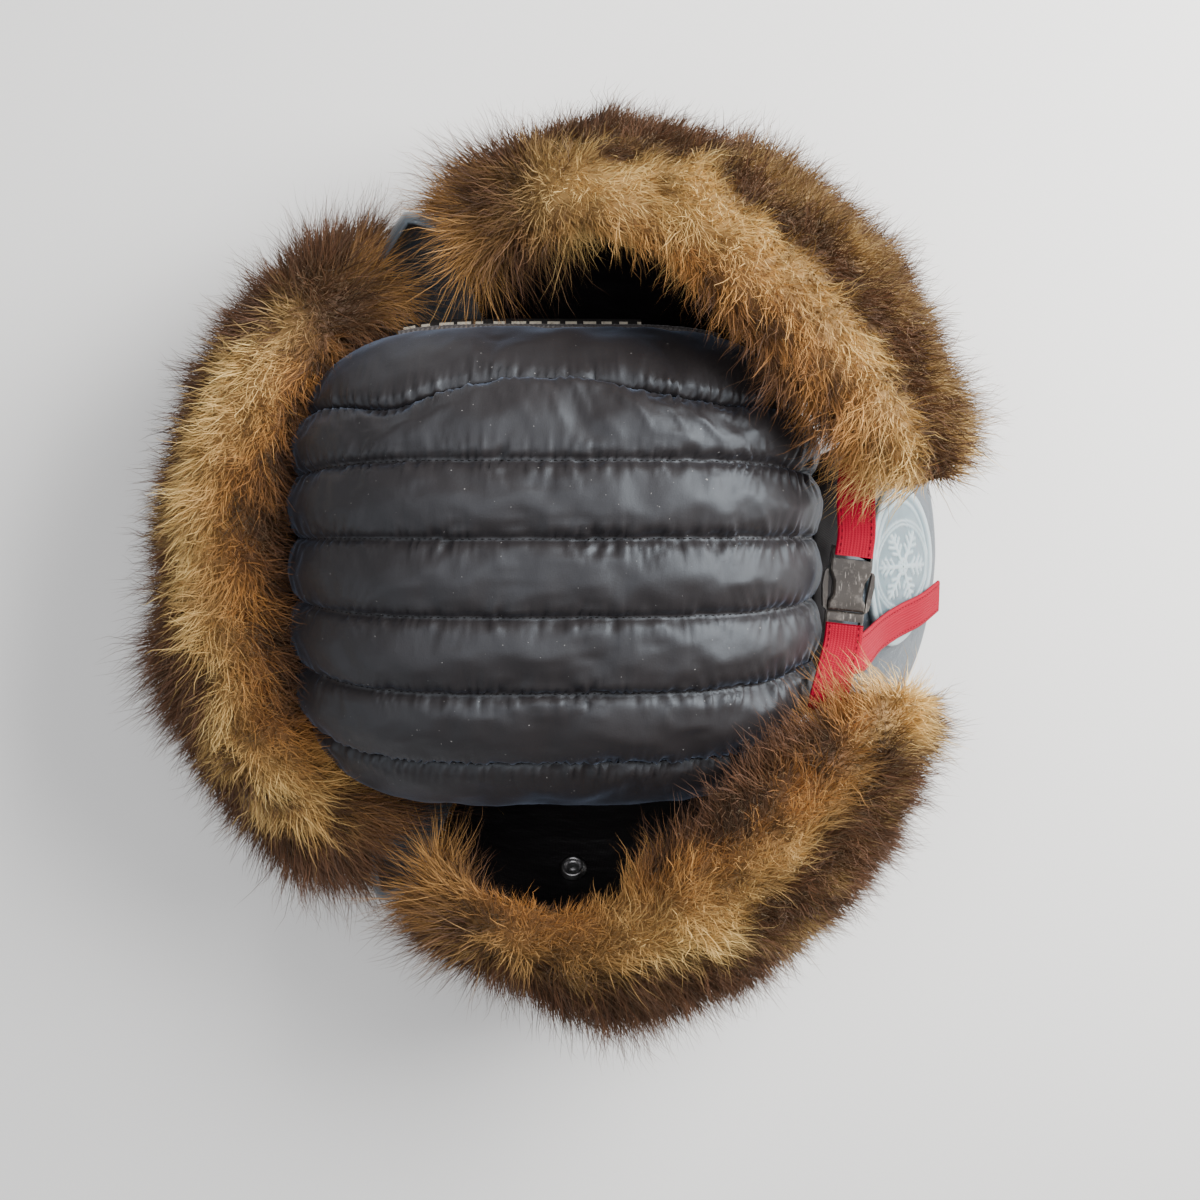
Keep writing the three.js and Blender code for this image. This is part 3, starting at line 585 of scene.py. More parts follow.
def finer(field, factor):
    """Catmull-Rom interpolation of a grid of values along its first two axes."""
    for axis in (0, 1):
        values = np.moveaxis(field, axis, 0)
        count = len(values) - 1
        at = np.linspace(0, count, count * factor + 1)
        low = np.clip(np.floor(at).astype(int), 0, count - 1)
        t = (at - low).reshape(-1, *[1] * (values.ndim - 1))
        p0, p1 = values[np.clip(low - 1, 0, count)], values[low]
        p2, p3 = values[low + 1], values[np.clip(low + 2, 0, count)]
        cubic = t * (3 * (p1 - p2) + p3 - p0)
        made = p1 + 0.5 * t * (p2 - p0 + t * (2 * p0 - 5 * p1 + 4 * p2 - p3 + cubic))
        field = np.moveaxis(made, 0, axis)
    return field


def seam_distance(v):
    """Distance in mm to the nearest quilting seam."""
    lines = SEAM * (2 * np.arange(CHANNELS + 1) / CHANNELS - 1)
    return np.abs(np.asarray(v)[..., None] - lines).min(axis=-1) * HALF_WIDTH


def pucker_height(points, v):
    """Small ridges square to the seams, in mm above the padded cloth."""
    away = seam_distance(v)
    along, across = points[..., 0], points[..., 1]
    side = np.sin(np.pi * (np.asarray(v) + SEAM) / SEAM * CHANNELS)  # it changes its sign at each seam
    wander = 2.2 * bumps(np.stack([along, 0.25 * across, 0 * along], axis=-1), 16, seed=11, octaves=2)
    strength = 0.5 + 0.5 * smooth_step(along + 0.35 * across, -90, 10)
    strength = strength * (0.75 + 0.6 * bumps(points, 26, seed=5, octaves=2))
    slanted = along + 0.35 * away * np.sin(along / 9) + 2.1 * np.sign(side)
    ridge = np.sin(2 * np.pi * (slanted / PUCKER_PITCH + 0.4 * wander))
    ridge = ridge + 0.7 * np.sin(2 * np.pi * (slanted / FINE_PUCKER_PITCH - 0.5 * wander))
    ridge = np.abs(ridge) ** 1.3 - 0.6
    fade = np.exp(-away / PUCKER_REACH) * smooth_step(away, 0.0, 1.6)
    height = PUCKER_HEIGHT * strength * ridge * fade
    to_right_seam = np.abs(v - SEAM) * HALF_WIDTH
    gather = np.sin(2 * np.pi * (along / GATHER_PITCH + 0.3 * wander)) * np.exp(-to_right_seam / 4.2)
    height = height + GATHER_HEIGHT * gather * smooth_step(to_right_seam, 0.0, 1.2)
    below = (SEAM - v) * HALF_WIDTH
    slant = np.sin(2 * np.pi * ((along - 0.9 * below) / DRAPE_PITCH + 0.3 * wander))
    drape = np.clip(slant, 0, 1) ** 2 * smooth_step(below, 1.5, 8) * (1 - smooth_step(below, 12, 26))
    drape = drape * smooth_step(along, -35, 20) * (1 - smooth_step(along, 60, 90))
    height = height + DRAPE_HEIGHT * drape
    valley = np.clip(0.45 - ridge * 0.75, 0, 1) * strength
    groove = np.exp(-(away / (1.0 + GROOVE_WIDER * valley)) ** 2)
    return height - STITCH_DEPTH * groove * (0.75 + 0.5 * valley)


fine_u = np.interp(np.linspace(0, SHEET_U, SHEET_U * DETAIL + 1), np.arange(SHEET_U + 1), sheet_u)
cells_v = len(sheet_v) - 1
fine_v = np.interp(np.linspace(0, cells_v, cells_v * DETAIL + 1), np.arange(cells_v + 1), sheet_v)
FU, FV = np.meshgrid(fine_u, fine_v, indexing="ij")
crown_top = finer(padded_sheet, DETAIL)
border_fade = smooth_step(1 - np.abs(FU), 0, 0.02) * smooth_step(1 - np.abs(FV), 0, 0.02)
crown_top += dome_normal(FU, arched(FU, FV)) * (pucker_height(crown_top, FV) * border_fade)[..., None]
print("crown surface:", crown_top.shape[0], "by", crown_top.shape[1], "points")

# %% [markdown]
# ## Crown: three padded panels
#
# The middle panel is one long grid: up the front wall, over the dome and down the back wall.
# A side panel is its part of the dome and the wall that goes round it. Both get a lining 7 mm
# inside, at the surface of the head's hollow, and a closed rim, as a sewn and turned edge has.

# %% Panels of the crown
WALL_LEVELS = np.array([78, 71, 63, 54, 45, 36, 28, 20, 13, 7, 3, 1, 0], float)
RIM_ROLL = {0.0: 1.6, 1.0: 0.6, 3.0: 0.15}  # the rim's edge rounds in by so many mm
END_WALL_FOLDS = 0.6
SIDE_WALL_FOLDS = 0.7


def wall_rows(u, v, inset, swollen):
    """Rows of the wall below border points, from the shoulder down to the rim."""
    rows = []
    for z in WALL_LEVELS[1:]:
        rolled = RIM_ROLL.get(float(z), 0.0) * (-1 if inset else 1)
        rows.append(wall(u, v, np.full_like(u, z), inset + rolled, swollen))
    return np.array(rows)


def wrinkled(points, normals, height):
    """Soft uneven folds of a padded wall."""
    flat = points * (1, 1, 0.55)
    return points + normals * (height * bumps(flat, 13, seed=8))[..., None]


def crown_surface(first, last, inset):
    """The columns first to last of the dome's top, outside or at the lining."""
    u, v = FU[:, first:last + 1], FV[:, first:last + 1]
    return dome(u, v, inset) if inset else crown_top[:, first:last + 1]


def middle_panel():
    """Points and faces of the quilted panel, from the front rim to the back rim."""
    first = int(np.argmin(np.abs(fine_v + SEAM)))
    last = int(np.argmin(np.abs(fine_v - SEAM)))
    v = fine_v[first:last + 1]
    layers = []
    for inset in (0.0, WALL):
        swollen = 0.0 if inset else swell(v)
        front = wall_rows(np.full_like(v, -1.0), v, inset, swollen)
        back = wall_rows(np.full_like(v, 1.0), v, inset, swollen)
        if not inset:
            front = wrinkled(front, np.array([-1.0, 0, 0]), END_WALL_FOLDS)
            back = wrinkled(back, np.array([1.0, 0, 0]), END_WALL_FOLDS)
        layers.append(np.concatenate([front[::-1], crown_surface(first, last, inset), back]))
    rows, columns = layers[0].shape[:2]
    for layer in layers:  # the cut edge keeps the small gap to the side panels
        layer[:, 0, 1] += GAP / 2
        layer[:, -1, 1] -= GAP / 2
    outer, inner = (layer.reshape(-1, 3) for layer in layers)
    return closed_wall(outer, inner, grid_faces(rows, columns))


def side_panel(turn):
    """A side of the dome and the wall round it; turn is 1 on the right and -1 on the left."""
    first = int(np.argmin(np.abs(fine_v - turn * SEAM)))
    last = len(fine_v) - 1 if turn > 0 else 0
    step = 1 if turn > 0 else -1
    v = fine_v[first::step] if turn > 0 else fine_v[first::-1]
    columns = len(v)
    rows = len(fine_u)
    border = [(0, j) for j in range(columns)] + [(i, columns - 1) for i in range(1, rows)]
    border += [(rows - 1, j) for j in range(columns - 2, -1, -1)]
    border_u = np.array([fine_u[i] for i, _ in border])
    border_v = np.array([v[j] for _, j in border])
    top = grid_faces(rows, columns)
    path = [i * columns + j for i, j in border]
    wall_faces = []
    count = len(border)
    above = path
    for level in range(len(WALL_LEVELS) - 1):
        below = [rows * columns + level * count + k for k in range(count)]
        wall_faces += [[above[k], above[k + 1], below[k + 1], below[k]] for k in range(count - 1)]
        above = below
    faces = np.concatenate([top, np.array(wall_faces)])
    if turn < 0:
        faces = faces[:, ::-1]
    layers = []
    past_last = last + step if last else None
    for inset in (0.0, WALL):
        u_grid, v_grid = np.meshgrid(fine_u, v, indexing="ij")
        sheet = dome(u_grid, v_grid, inset) if inset else crown_top[:, first:past_last:step]
        swollen = 0.0 if inset else swell(border_v)
        ring = wall_rows(border_u, border_v, inset, swollen)
        if not inset:
            out = unit(dome_normal(border_u, border_v) * (1, 1, 0))
            ring = wrinkled(ring, out, SIDE_WALL_FOLDS)
        sheet = sheet.copy()  # the crown's own surface stays as it is
        sheet[:, 0, 1] += turn * GAP / 2
        ring[:, [0, -1], 1] += turn * GAP / 2
        layers.append(np.concatenate([sheet.reshape(-1, 3), ring.reshape(-1, 3)]))
    return closed_wall(layers[0], layers[1], faces)


# %% [markdown]
# ## Finishes of the cloth
#
# Down-proof nylon is a fine plain weave with a soft, slightly blue sheen on black cloth, and
# its ridges catch the light in thin lines. The weave is far finer than the picture can show, so
# a bump of small crinkles does more for it than single threads. Dust gives it a few pale specks.

# %% Quilted nylon
def quilted_nylon():
    made = Finish("quilted black nylon", IOR=1.52, Specular_Tint=(0.76, 0.88, 1.0, 1), Sheen_Weight=0.16,
                  Sheen_Roughness=0.35, Sheen_Tint=(0.55, 0.7, 1.0, 1))
    where = made.place()
    broad = made.noise(where, 22, 3)
    crinkle = made.noise(made.stretched(where, (1.0, 0.45, 1.0)), 420, 4, 0.6)
    weave_x = made.noise(made.stretched(where, (1.0, 0.12, 1.0)), 5200, 1)
    weave_y = made.noise(made.stretched(where, (0.12, 1.0, 1.0)), 5200, 1)
    speck = made.noise(where, 900, 0)
    dust = made.ramp(speck, [(0.0, 0.0), (0.862, 0.0), (0.875, 1.0)])
    plum = made.mix(broad, (0.0105, 0.0074, 0.0068, 1), (0.019, 0.0145, 0.014, 1))
    made.give("Base Color", made.mix(dust * 0.55, plum, (0.32, 0.31, 0.3, 1)))
    made.give("Roughness", 0.45 + broad * 0.08 + crinkle * 0.06)
    fine = made.bump(weave_x + weave_y, 0.00006, 0.5)
    made.give("Normal", made.bump(crinkle, 0.0003, 0.22, fine))
    return made.material


nylon = quilted_nylon()
points, faces = middle_panel()
crown_panel = new_piece("quilted_crown_panel", points, faces, nylon)
settle(crown_panel, "quilt_nylon", "crown_panel")
for word, turn in (("right", 1), ("left", -1)):
    points, faces = side_panel(turn)
    side = new_piece("padded_side_" + word, points, faces, nylon)
    settle(side, "quilt_nylon", "side_panel_" + word)

# %% [markdown]
# ## Flaps: where cloth and fur lie
#
# Each flap is a curved sheet that rises from a foot against the crown, bellies out and comes
# back to its free edge. A short table gives that line at a few angles round the crown; between
# the rows everything runs smoothly. A place on a flap is an angle, a share s of the way from the
# foot (0) to the free edge (1), and a distance off the cloth, away from the head.

# %% Flap tables, in degrees and mm
COLUMNS = ("angle", "foot_z", "belly_r", "belly_z", "edge_r", "edge_z", "pile")
FRONT_FLAP = [
    (121, 8, 140, 40, 136, 62, 26), (130, 8, 140, 45, 133, 78, 34), (143, 8, 138, 48, 131, 90, 39),
    (160, 8, 134, 50, 124, 96, 41), (180, 8, 130, 50, 121, 98, 44), (200, 8, 138, 50, 125, 96, 46),
    (217, 8, 141, 48, 133, 90, 42), (229, 8, 141, 45, 135, 78, 36), (236, 8, 142, 40, 138, 62, 28),
]
EAR_FLAP_RIGHT = [
    (106, 8, 140, 45, 135, 78, 24), (95, 8, 146, 52, 139, 95, 30), (84, 8, 151, 60, 142, 110, 36),
    (70, 8, 153, 66, 138, 122, 39), (58, 8, 156, 68, 130, 130, 42), (45, 10, 156, 70, 122, 132, 41),
    (33, 32, 154, 78, 124, 132, 37), (22, 62, 153, 92, 134, 129, 26), (14, 84, 156, 102, 146, 122, 14),
]
EAR_FLAP_LEFT = [
    (-112, 8, 142, 45, 138, 78, 22), (-102, 8, 146, 52, 141, 92, 28), (-90, 8, 152, 58, 142, 104, 38),
    (-80, 8, 158, 62, 138, 116, 44), (-66, 8, 157, 66, 122, 132, 42), (-52, 8, 156, 70, 116, 134, 42),
    (-39, 24, 152, 77, 117, 132, 38), (-28, 56, 147, 90, 126, 129, 28), (-20, 82, 151, 101, 140, 121, 16),
]
GUSSET_RIGHT = [
    (120, 8, 142, 46, 143, 66, 0), (113, 8, 150, 50, 152, 76, 0), (107, 8, 144, 48, 140, 74, 0),
]
GUSSET_LEFT = [
    (-123, 8, 146, 42, 144, 64, 0), (-118, 8, 154, 48, 157, 72, 0), (-113, 8, 146, 46, 143, 72, 0),
]
NECK_FLAP = [
    (-25, 54, 142, 36, 172, 0, 0), (-14, 62, 141, 46, 174, 0, 0), (0, 64, 140, 50, 175, 0, 0),
    (14, 62, 141, 46, 174, 0, 0), (22, 54, 142, 36, 172, 0, 0),
]
CLOTH = 3  # thickness
FOOT_AWAY = 0.5  # mm that a furred flap's foot stands off the crown, for each mm that it starts higher
FOOT_SEATED = 8  # height of a foot that lies against the crown
SEAT_SLACK = 0.15
FALLING_FOOT = 0.4  # half thickness at the foot of a flap that hangs down
FUR_ROLL = 12  # depth of the fur where it rolls over the free edge
print("flap tables:", len(COLUMNS), "columns")

# %% Any place on a flap
OUTLINE_STEPS = eased(80)
FAR_END = np.ones_like(OUTLINE_STEPS)
OUTLINE_U = np.concatenate([OUTLINE_STEPS, FAR_END, OUTLINE_STEPS[::-1], -FAR_END])
OUTLINE_V = np.concatenate([-FAR_END, OUTLINE_STEPS, FAR_END, OUTLINE_STEPS[::-1]])


def wall_radius(angle, z):
    """Distance of the crown's wall from its centre, over the crests of the padding."""
    height = np.full_like(OUTLINE_U, min(z, SHOULDER))
    points = wall(OUTLINE_U, OUTLINE_V, height, 0, CHANNEL_SWELL * (1 - np.abs(OUTLINE_V) ** 8))
    x, y = points[:, 0] - CROWN_X, points[:, 1] - CROWN_Y
    turns = np.degrees(np.arctan2(y, x)) % 360
    order = np.argsort(turns)
    return float(np.interp(angle % 360, turns[order], np.hypot(x, y)[order], period=360))


def row_at(table, angles):
    """The table's columns at any angles, as arrays that have one row for each angle."""
    rows = np.array(sorted(table), float)
    angles = np.atleast_1d(np.asarray(angles, float))
    made = {name: np.interp(angles, rows[:, 0], rows[:, k])[:, None] for k, name in enumerate(COLUMNS)}
    away = np.where(made["pile"] > 0, FOOT_AWAY * (made["foot_z"] - FOOT_SEATED), 0)
    half = np.where(made["edge_z"] > made["foot_z"], CLOTH / 2, FALLING_FOOT)
    seat = [[wall_radius(angle, round(float(z)))] for angle, z in zip(angles, made["foot_z"][:, 0])]
    made["seat"] = np.array(seat) + GAP + half + SEAT_SLACK + away
    return made


def flap_profile(row, s, off, past=0.0):
    """Radius and height on a flap, for every row at shares s, off the cloth by so many mm."""
    foot = np.stack([row["seat"], row["foot_z"]], axis=-1)
    edge = np.stack([row["edge_r"], row["edge_z"]], axis=-1)
    belly = np.stack([row["belly_r"], row["belly_z"]], axis=-1)
    pull = 2 * belly - (foot + edge) / 2
    s = np.atleast_2d(s)[..., None]
    at = (1 - s) ** 2 * foot + 2 * s * (1 - s) * pull + s ** 2 * edge
    along = unit((1 - s) * (pull - foot) + s * (edge - pull))
    rising = np.where(edge[..., 1:] > foot[..., 1:], 1, -1)
    out = np.stack([along[..., 1], -along[..., 0]], axis=-1) * rising
    return at + out * np.asarray(off, float)[..., None] + along * np.asarray(past, float)[..., None]


def on_flap(row, s, off, past=0.0):
    """Points on a flap in mm, one row for each angle and one column for each share."""
    off, past = np.atleast_2d(off), np.atleast_2d(past)
    flat = flap_profile(row, s, off, past)
    turn = np.radians(row["angle"])
    x = CROWN_X + flat[..., 0] * np.cos(turn)
    y = CROWN_Y + flat[..., 0] * np.sin(turn)
    return np.stack([x, y, flat[..., 1]], axis=-1)


def angles_of(table, step):
    """Even angles along a table, about a step apart."""
    first, last = table[0][0], table[-1][0]
    return np.linspace(first, last, math.ceil(abs(last - first) / step) + 1)


check = on_flap(row_at(FRONT_FLAP, [180]), np.array([0.0, 0.5, 1.0]), 0)[0]
print("front flap at its middle, in mm:", np.round(check, 1).tolist())

# %% [markdown]
# ## Flaps: cloth
#
# Under the fur is a flap of cloth with a lining. Towards the head it shows in the gaps: black
# satin on the ear flaps, grey-blue shell cloth in the gussets and round the neck. Cloth like this
# lies in low folds, so the sheet gets an uneven surface along with its own thickness.

# %% Cloth sheets with folds
MAP_RADIUS = 135  # turns degrees round the crown into mm along the cloth


def cloth_flap(name, table, material, slot, node, step=2.0, across=34, fold=None):
    """A closed sheet of cloth along a flap table; fold gives extra mm off the cloth."""
    row = row_at(table, angles_of(table, step))
    shares = np.linspace(0, 1, across + 1)[None, :]
    middle = on_flap(row, shares, 0)
    lift = np.zeros(middle.shape[:2]) if fold is None else fold(row, shares, middle)
    thick = CLOTH / 2 * np.clip(np.minimum(shares, 1 - shares) * across * 0.9, 0.45, 1)
    outer = on_flap(row, shares, lift + thick)
    inner = on_flap(row, shares, lift - thick)
    faces = grid_faces(*outer.shape[:2])
    corner = outer[0, 0]
    looks = np.cross(outer[1, 0] - corner, outer[0, 1] - corner)
    if looks @ (corner - inner[0, 0]) < 0:
        faces = faces[:, ::-1]
    for layer in (outer, inner):
        layer[..., 2] = np.maximum(layer[..., 2], 0)
    points, all_faces = closed_wall(outer.reshape(-1, 3), inner.reshape(-1, 3), faces)
    arc = np.cumsum(np.linalg.norm(np.diff(middle, axis=1, prepend=middle[:, :1]), axis=-1), axis=1)
    wide = np.radians(row["angle"]) * MAP_RADIUS * np.ones_like(arc)
    maps = np.stack([wide, arc], axis=-1).reshape(-1, 2)
    piece = new_piece(name, points, all_faces, material, np.concatenate([maps, maps]))
    return settle(piece, slot, node)


def soft_folds(size, height, seed, squeeze=(1, 1, 1)):
    """Folds of about that size; squeeze makes them longer in one direction."""
    def fold(row, shares, middle):
        fade = smooth_step(shares, 0, 0.12) * smooth_step(1 - shares, 0, 0.1)
        return height * bumps(middle * squeeze, size, seed) * fade
    return fold


def neck_folds(row, shares, middle):
    """Folds at the top of the neck flap, where the crown pulls on it."""
    turn = row["angle"] * np.ones_like(shares)
    wave = np.sin(np.radians(turn) * 26 + 3 * shares) + 0.5 * np.sin(np.radians(turn) * 47 - 5 * shares)
    top = smooth_step(shares, 0.02, 0.1) * (1 - smooth_step(shares, 0.12, 0.34))
    uneven = bumps(middle, 20, 4) * smooth_step(shares, 0.02, 0.1) * (shares < 0.3)
    return 0.9 * wave * top + 0.35 * uneven


# %% Shell cloth and satin
# Painted shade: width and soft edge in mm of the near-black band at the foot of the cloth.
SHADE_BAND_WIDTH = 13.0
SHADE_BAND_SOFT = 3.0


def shell_cloth():
    made = Finish("grey-blue shell cloth", Sheen_Weight=0.25, Sheen_Roughness=0.4)
    where = made.place()
    across = made.cloth_map("X")
    up = made.cloth_map("Y")
    weave = (across * 5.2).sine() * (up * 5.2).sine()
    broad = made.noise(where, 26, 4)
    # Painted glints: small pale specks mixed into the cloth's colour.
    painted_glint = made.ramp(made.noise(where, 720, 1), [(0.0, 0.0), (0.66, 0.0), (0.72, 1.0)])
    base = made.mix(broad, (0.035, 0.047, 0.06, 1), (0.10, 0.127, 0.152, 1))
    cloth = made.mix(painted_glint * 0.14, base, (0.62, 0.68, 0.72, 1))
    # Painted shade: the first 13 mm of cloth up from the foot, next to the crown, is near black and
    # rougher, for the shade in the gap there.
    painted_shade_band = (1.0 - (up - SHADE_BAND_WIDTH) / SHADE_BAND_SOFT).capped()
    made.give("Base Color", made.mix(painted_shade_band, cloth, (0.006, 0.005, 0.006, 1)))
    made.give("Roughness", 0.34 + broad * 0.2 + painted_shade_band * 0.4)
    fine = made.bump(weave, 0.00012, 0.4)
    made.give("Normal", made.bump(made.noise(where, 150, 4), 0.0012, 0.4, fine))
    return made.material


def black_satin():
    made = Finish("black satin lining", Sheen_Weight=0.3, Sheen_Roughness=0.3)
    where = made.place()
    broad = made.noise(where, 30, 3)
    made.give("Base Color", made.mix(broad, (0.004, 0.0035, 0.004, 1), (0.011, 0.0095, 0.0105, 1)))
    made.give("Roughness", 0.26 + broad * 0.14)
    folds = made.noise(made.stretched(where, (1.0, 1.0, 4.0)), 60, 4)
    threads = made.cloth_map("X") * 9.0
    made.give("Normal", made.bump(folds, 0.002, 0.5, made.bump(threads.sine(), 0.00005, 0.3)))
    return made.material


shell = shell_cloth()
satin = black_satin()
front_folds = soft_folds(24, 0.5, 2)
cloth_flap("front_flap_cloth", FRONT_FLAP, shell, "shell_cloth", "front_flap", fold=front_folds)
for word, table in (("right", EAR_FLAP_RIGHT), ("left", EAR_FLAP_LEFT)):
    lining_folds = soft_folds(17, 0.5, 6, squeeze=(1, 1, 2.6))
    cloth_flap("ear_flap_cloth_" + word, table, satin, "satin", "ear_flap_" + word, fold=lining_folds)
for word, table in (("right", GUSSET_RIGHT), ("left", GUSSET_LEFT)):
    gusset_folds = soft_folds(9, 0.9, 9, squeeze=(1, 1, 0.5))
    node = "gusset_" + word
    cloth_flap("gusset_cloth_" + word, table, shell, "shell_cloth", node, 0.8, 30, gusset_folds)
cloth_flap("neck_flap_cloth", NECK_FLAP, shell, "shell_cloth", "neck_flap", 0.9, 60, neck_folds)

# %% [markdown]
# ## Fur: the mass of the pile
#
# Deep fur reads as a solid mass with hair on its surface, so each flap first gets that mass: it
# covers the cloth from near the foot, stands away from it by the depth of the pile, and rolls
# over the free edge down to the side that faces the head. Lumps break it into locks. It also
# carries what the hairs need to know: the way they are combed, and masks for their colour.

# %% Comb and colour masks
FUR_SKIN = CLOTH / 2 + GAP
UNDER_SHARES = (0.8, 0.6, 0.4, 0.22)  # places of the hidden side, which lies on the cloth
PILE_SHAPE = [(0.1, 0.3), (0.28, 0.66), (0.5, 0.84), (0.72, 0.84), (0.92, 0.62)]
MASS_SHARE = 0.66  # of the pile's depth; the hairs stand on the rest of it
FACE_STEPS = 5
FUR_LUMP = 15.0  # size in mm of the lumps that break the mass into locks
LUMP_HEIGHT = 2.4
END_DROP = 4.5  # the mass is lower at both ends, where it meets a gusset
LOWEST_MASS = 2.5  # height over the floor
LOWEST_UNDER = 1.0
TOUSLE = 0.42  # how much the hair stands about at random
FUR_SWELL = 46.0  # size of the broad swells
SWELL_HEIGHT = 3.2
END_REACH = 26.0  # degrees over which the hair turns and grows towards a gusset
INNER_REACH = 38.0  # the same on the side that faces the head
DARK_BANDS = {  # (angles from and to in degrees, distance from the centre at each and half width in mm)
    "front": [],
    "right": [(68, 8, 164, 150, 7)],
    "left": [(-28, -62, 146, 158, 11)],
}
BANDED_RIM = 8  # mm by which the brown rim starts further out where there is a band
RIM_BROWN = (141, 163)  # distance from the crown's middle where brown begins and where it is full
HEAD_SIDE_SHADE = (111, 133)  # distance where the painted shade, brown, next to the crown is full and where it ends
HEAD_SIDE_SHADED_AMBER = (122, 149)  # the same for the painted shade in amber
LONGER_HAIR = {  # (angle, reach in degrees, share by which the hair is longer)
    "front": [(192, 9, 0.55)],
    "right": [(84, 12, -0.25), (20, 8, 0.3)],
    "left": [(-82, 13, 0.42), (-30, 8, 0.2)],
}
SHORTER_INSIDE = {  # (angle, reach in degrees) where the hair towards the head is short, and dark with painted shade
    "front": [],
    "right": [],
    "left": [(-94, 16.5)],
}
SHORT_SHARE = 0.78
THINNER = 5.0  # mm by which the mass is thinner there
# The fur of each flap: share where it ends inside the edge, way it is combed round the crown, and
# darker patches at (angle, share, reach in degrees, reach in share, strength).
FUR = {
    "front": (FRONT_FLAP, 0.8, 1.0, [
        (150, 0.5, 16, 0.28, 0.9), (183, 0.5, 15, 0.26, 0.85), (214, 0.5, 14, 0.28, 0.95),
        (130, 0.85, 9, 0.4, 0.75), (232, 0.8, 7, 0.5, 0.7)]),
    "right": (EAR_FLAP_RIGHT, 5 / 6, -1.0, [
        (78, 0.5, 15, 0.18, 0.75), (97, 0.9, 8, 0.3, 0.6)]),
    "left": (EAR_FLAP_LEFT, 5 / 6, 1.0, [
        (-45, 0.62, 12, 0.22, 1.0), (-36, 0.5, 9, 0.3, 0.9), (-80, 0.5, 18, 0.2, 0.85),
        (-106, 0.7, 8, 0.3, 0.7)]),
}


def finer_columns(field, factor):
    """Catmull-Rom interpolation of the columns alone."""
    return finer(field, factor)[::factor]


def fan(row, shares, tilt):
    """Unit directions in each section's plane: tilt 0 points off the cloth, 90 up past the edge."""
    at = on_flap(row, shares, 0)
    off = unit(on_flap(row, shares, 1) - at)
    past = unit(on_flap(row, shares, 0, 1) - at)
    tilt = np.radians(tilt)[..., None]
    return np.cos(tilt) * off + np.sin(tilt) * past


def sideways(row):
    """Unit direction round the crown at each section."""
    turn = np.radians(row["angle"])
    return np.stack([-np.sin(turn), np.cos(turn), 0 * turn], axis=-1)


def near_gusset(row, reach=END_REACH):
    """From -1 to 1: how close a section is to a gusset, and to which side of it that lies."""
    angle = row["angle"] % 360
    made = np.zeros_like(angle)
    for gusset in (GUSSET_RIGHT, GUSSET_LEFT):
        middle = (gusset[0][0] + gusset[-1][0]) / 2 % 360
        away = angle - middle
        made = made - np.sign(away) * (1 - smooth_step(np.abs(away), 8, reach))
    return made


def colour_masks(row, share, points, patches, bands):
    """Brown tips towards the outside, darker patches, and painted shade towards the head: brown, and
    amber that also lies round the gussets.
    """
    far = np.hypot(points[..., 0] - CROWN_X, points[..., 1] - CROWN_Y)
    wave = bumps(points, 30, seed=41)
    fine = bumps(points, 9, seed=42)
    rim = BANDED_RIM if bands else 0
    dark = 0.9 * smooth_step(far - rim + 12 * wave + 9 * fine, *RIM_BROWN)
    for start, end, near_start, near_end, half in bands:
        way = (row["angle"] - start) / (end - start)
        off = np.abs(far + 4 * wave + 3 * fine - near_start - (near_end - near_start) * way) / half
        inside = smooth_step(way, -0.12, 0.08) * (1 - smooth_step(way, 0.92, 1.12))
        dark = np.maximum(dark * (1 - 0.4 * inside), inside * np.exp(-off ** 2))
    for angle, at, wide, tall, strength in patches:
        near = ((row["angle"] - angle) / wide) ** 2 + ((share - at) / tall) ** 2
        dark = np.maximum(dark, strength * np.exp(-near * (1 + 0.6 * wave + 0.4 * fine)))
    # Painted shade: brown next to the crown and amber a little further out and round the gussets, where
    # the fur lies in the hollows' shade.
    inside = 1 - smooth_step(far + 8 * wave + 5 * fine, *HEAD_SIDE_SHADE)
    amber = 1 - smooth_step(far + 9 * wave + 4 * fine, *HEAD_SIDE_SHADED_AMBER)
    amber = np.maximum(amber, np.abs(near_gusset(row)) * 0.8)
    # The dark mask holds real brown tips, bands and patches, and the painted shade next to the crown.
    return {"dark": np.clip(np.maximum(dark, 0.75 * inside), 0, 1), "amber": np.clip(amber, 0, 1)}


print("fur patches:", {word: len(facts[3]) for word, facts in FUR.items()})

# %% Fur masses
def fur_keys(row, end_share):
    """Key places over the visible side, from the foot to inside the edge: (share, off, past)."""
    flat = np.ones_like(row["pile"])
    keys = [(s, FUR_SKIN + part * MASS_SHARE * row["pile"], 0 * flat) for s, part in PILE_SHAPE]
    roll = FUR_ROLL * MASS_SHARE
    keys += [(1.0, 0 * flat, roll * flat), (0.96, -(FUR_SKIN + roll * 0.65) * flat, 0 * flat)]
    return keys + [(end_share, -(FUR_SKIN + roll * 0.3) * flat, 0 * flat)]


HAIR_TILT = [-24, -8, 8, 24, 44, 92, 148, 190]  # degrees, at each key place


def where_short(word, row):
    """1 at angles where the hair towards the head is short, and 0 elsewhere."""
    short = np.zeros_like(row["angle"])
    for angle, wide in SHORTER_INSIDE[word]:
        short = np.maximum(short, np.exp(-((row["angle"] - angle) / wide) ** 4))
    return short


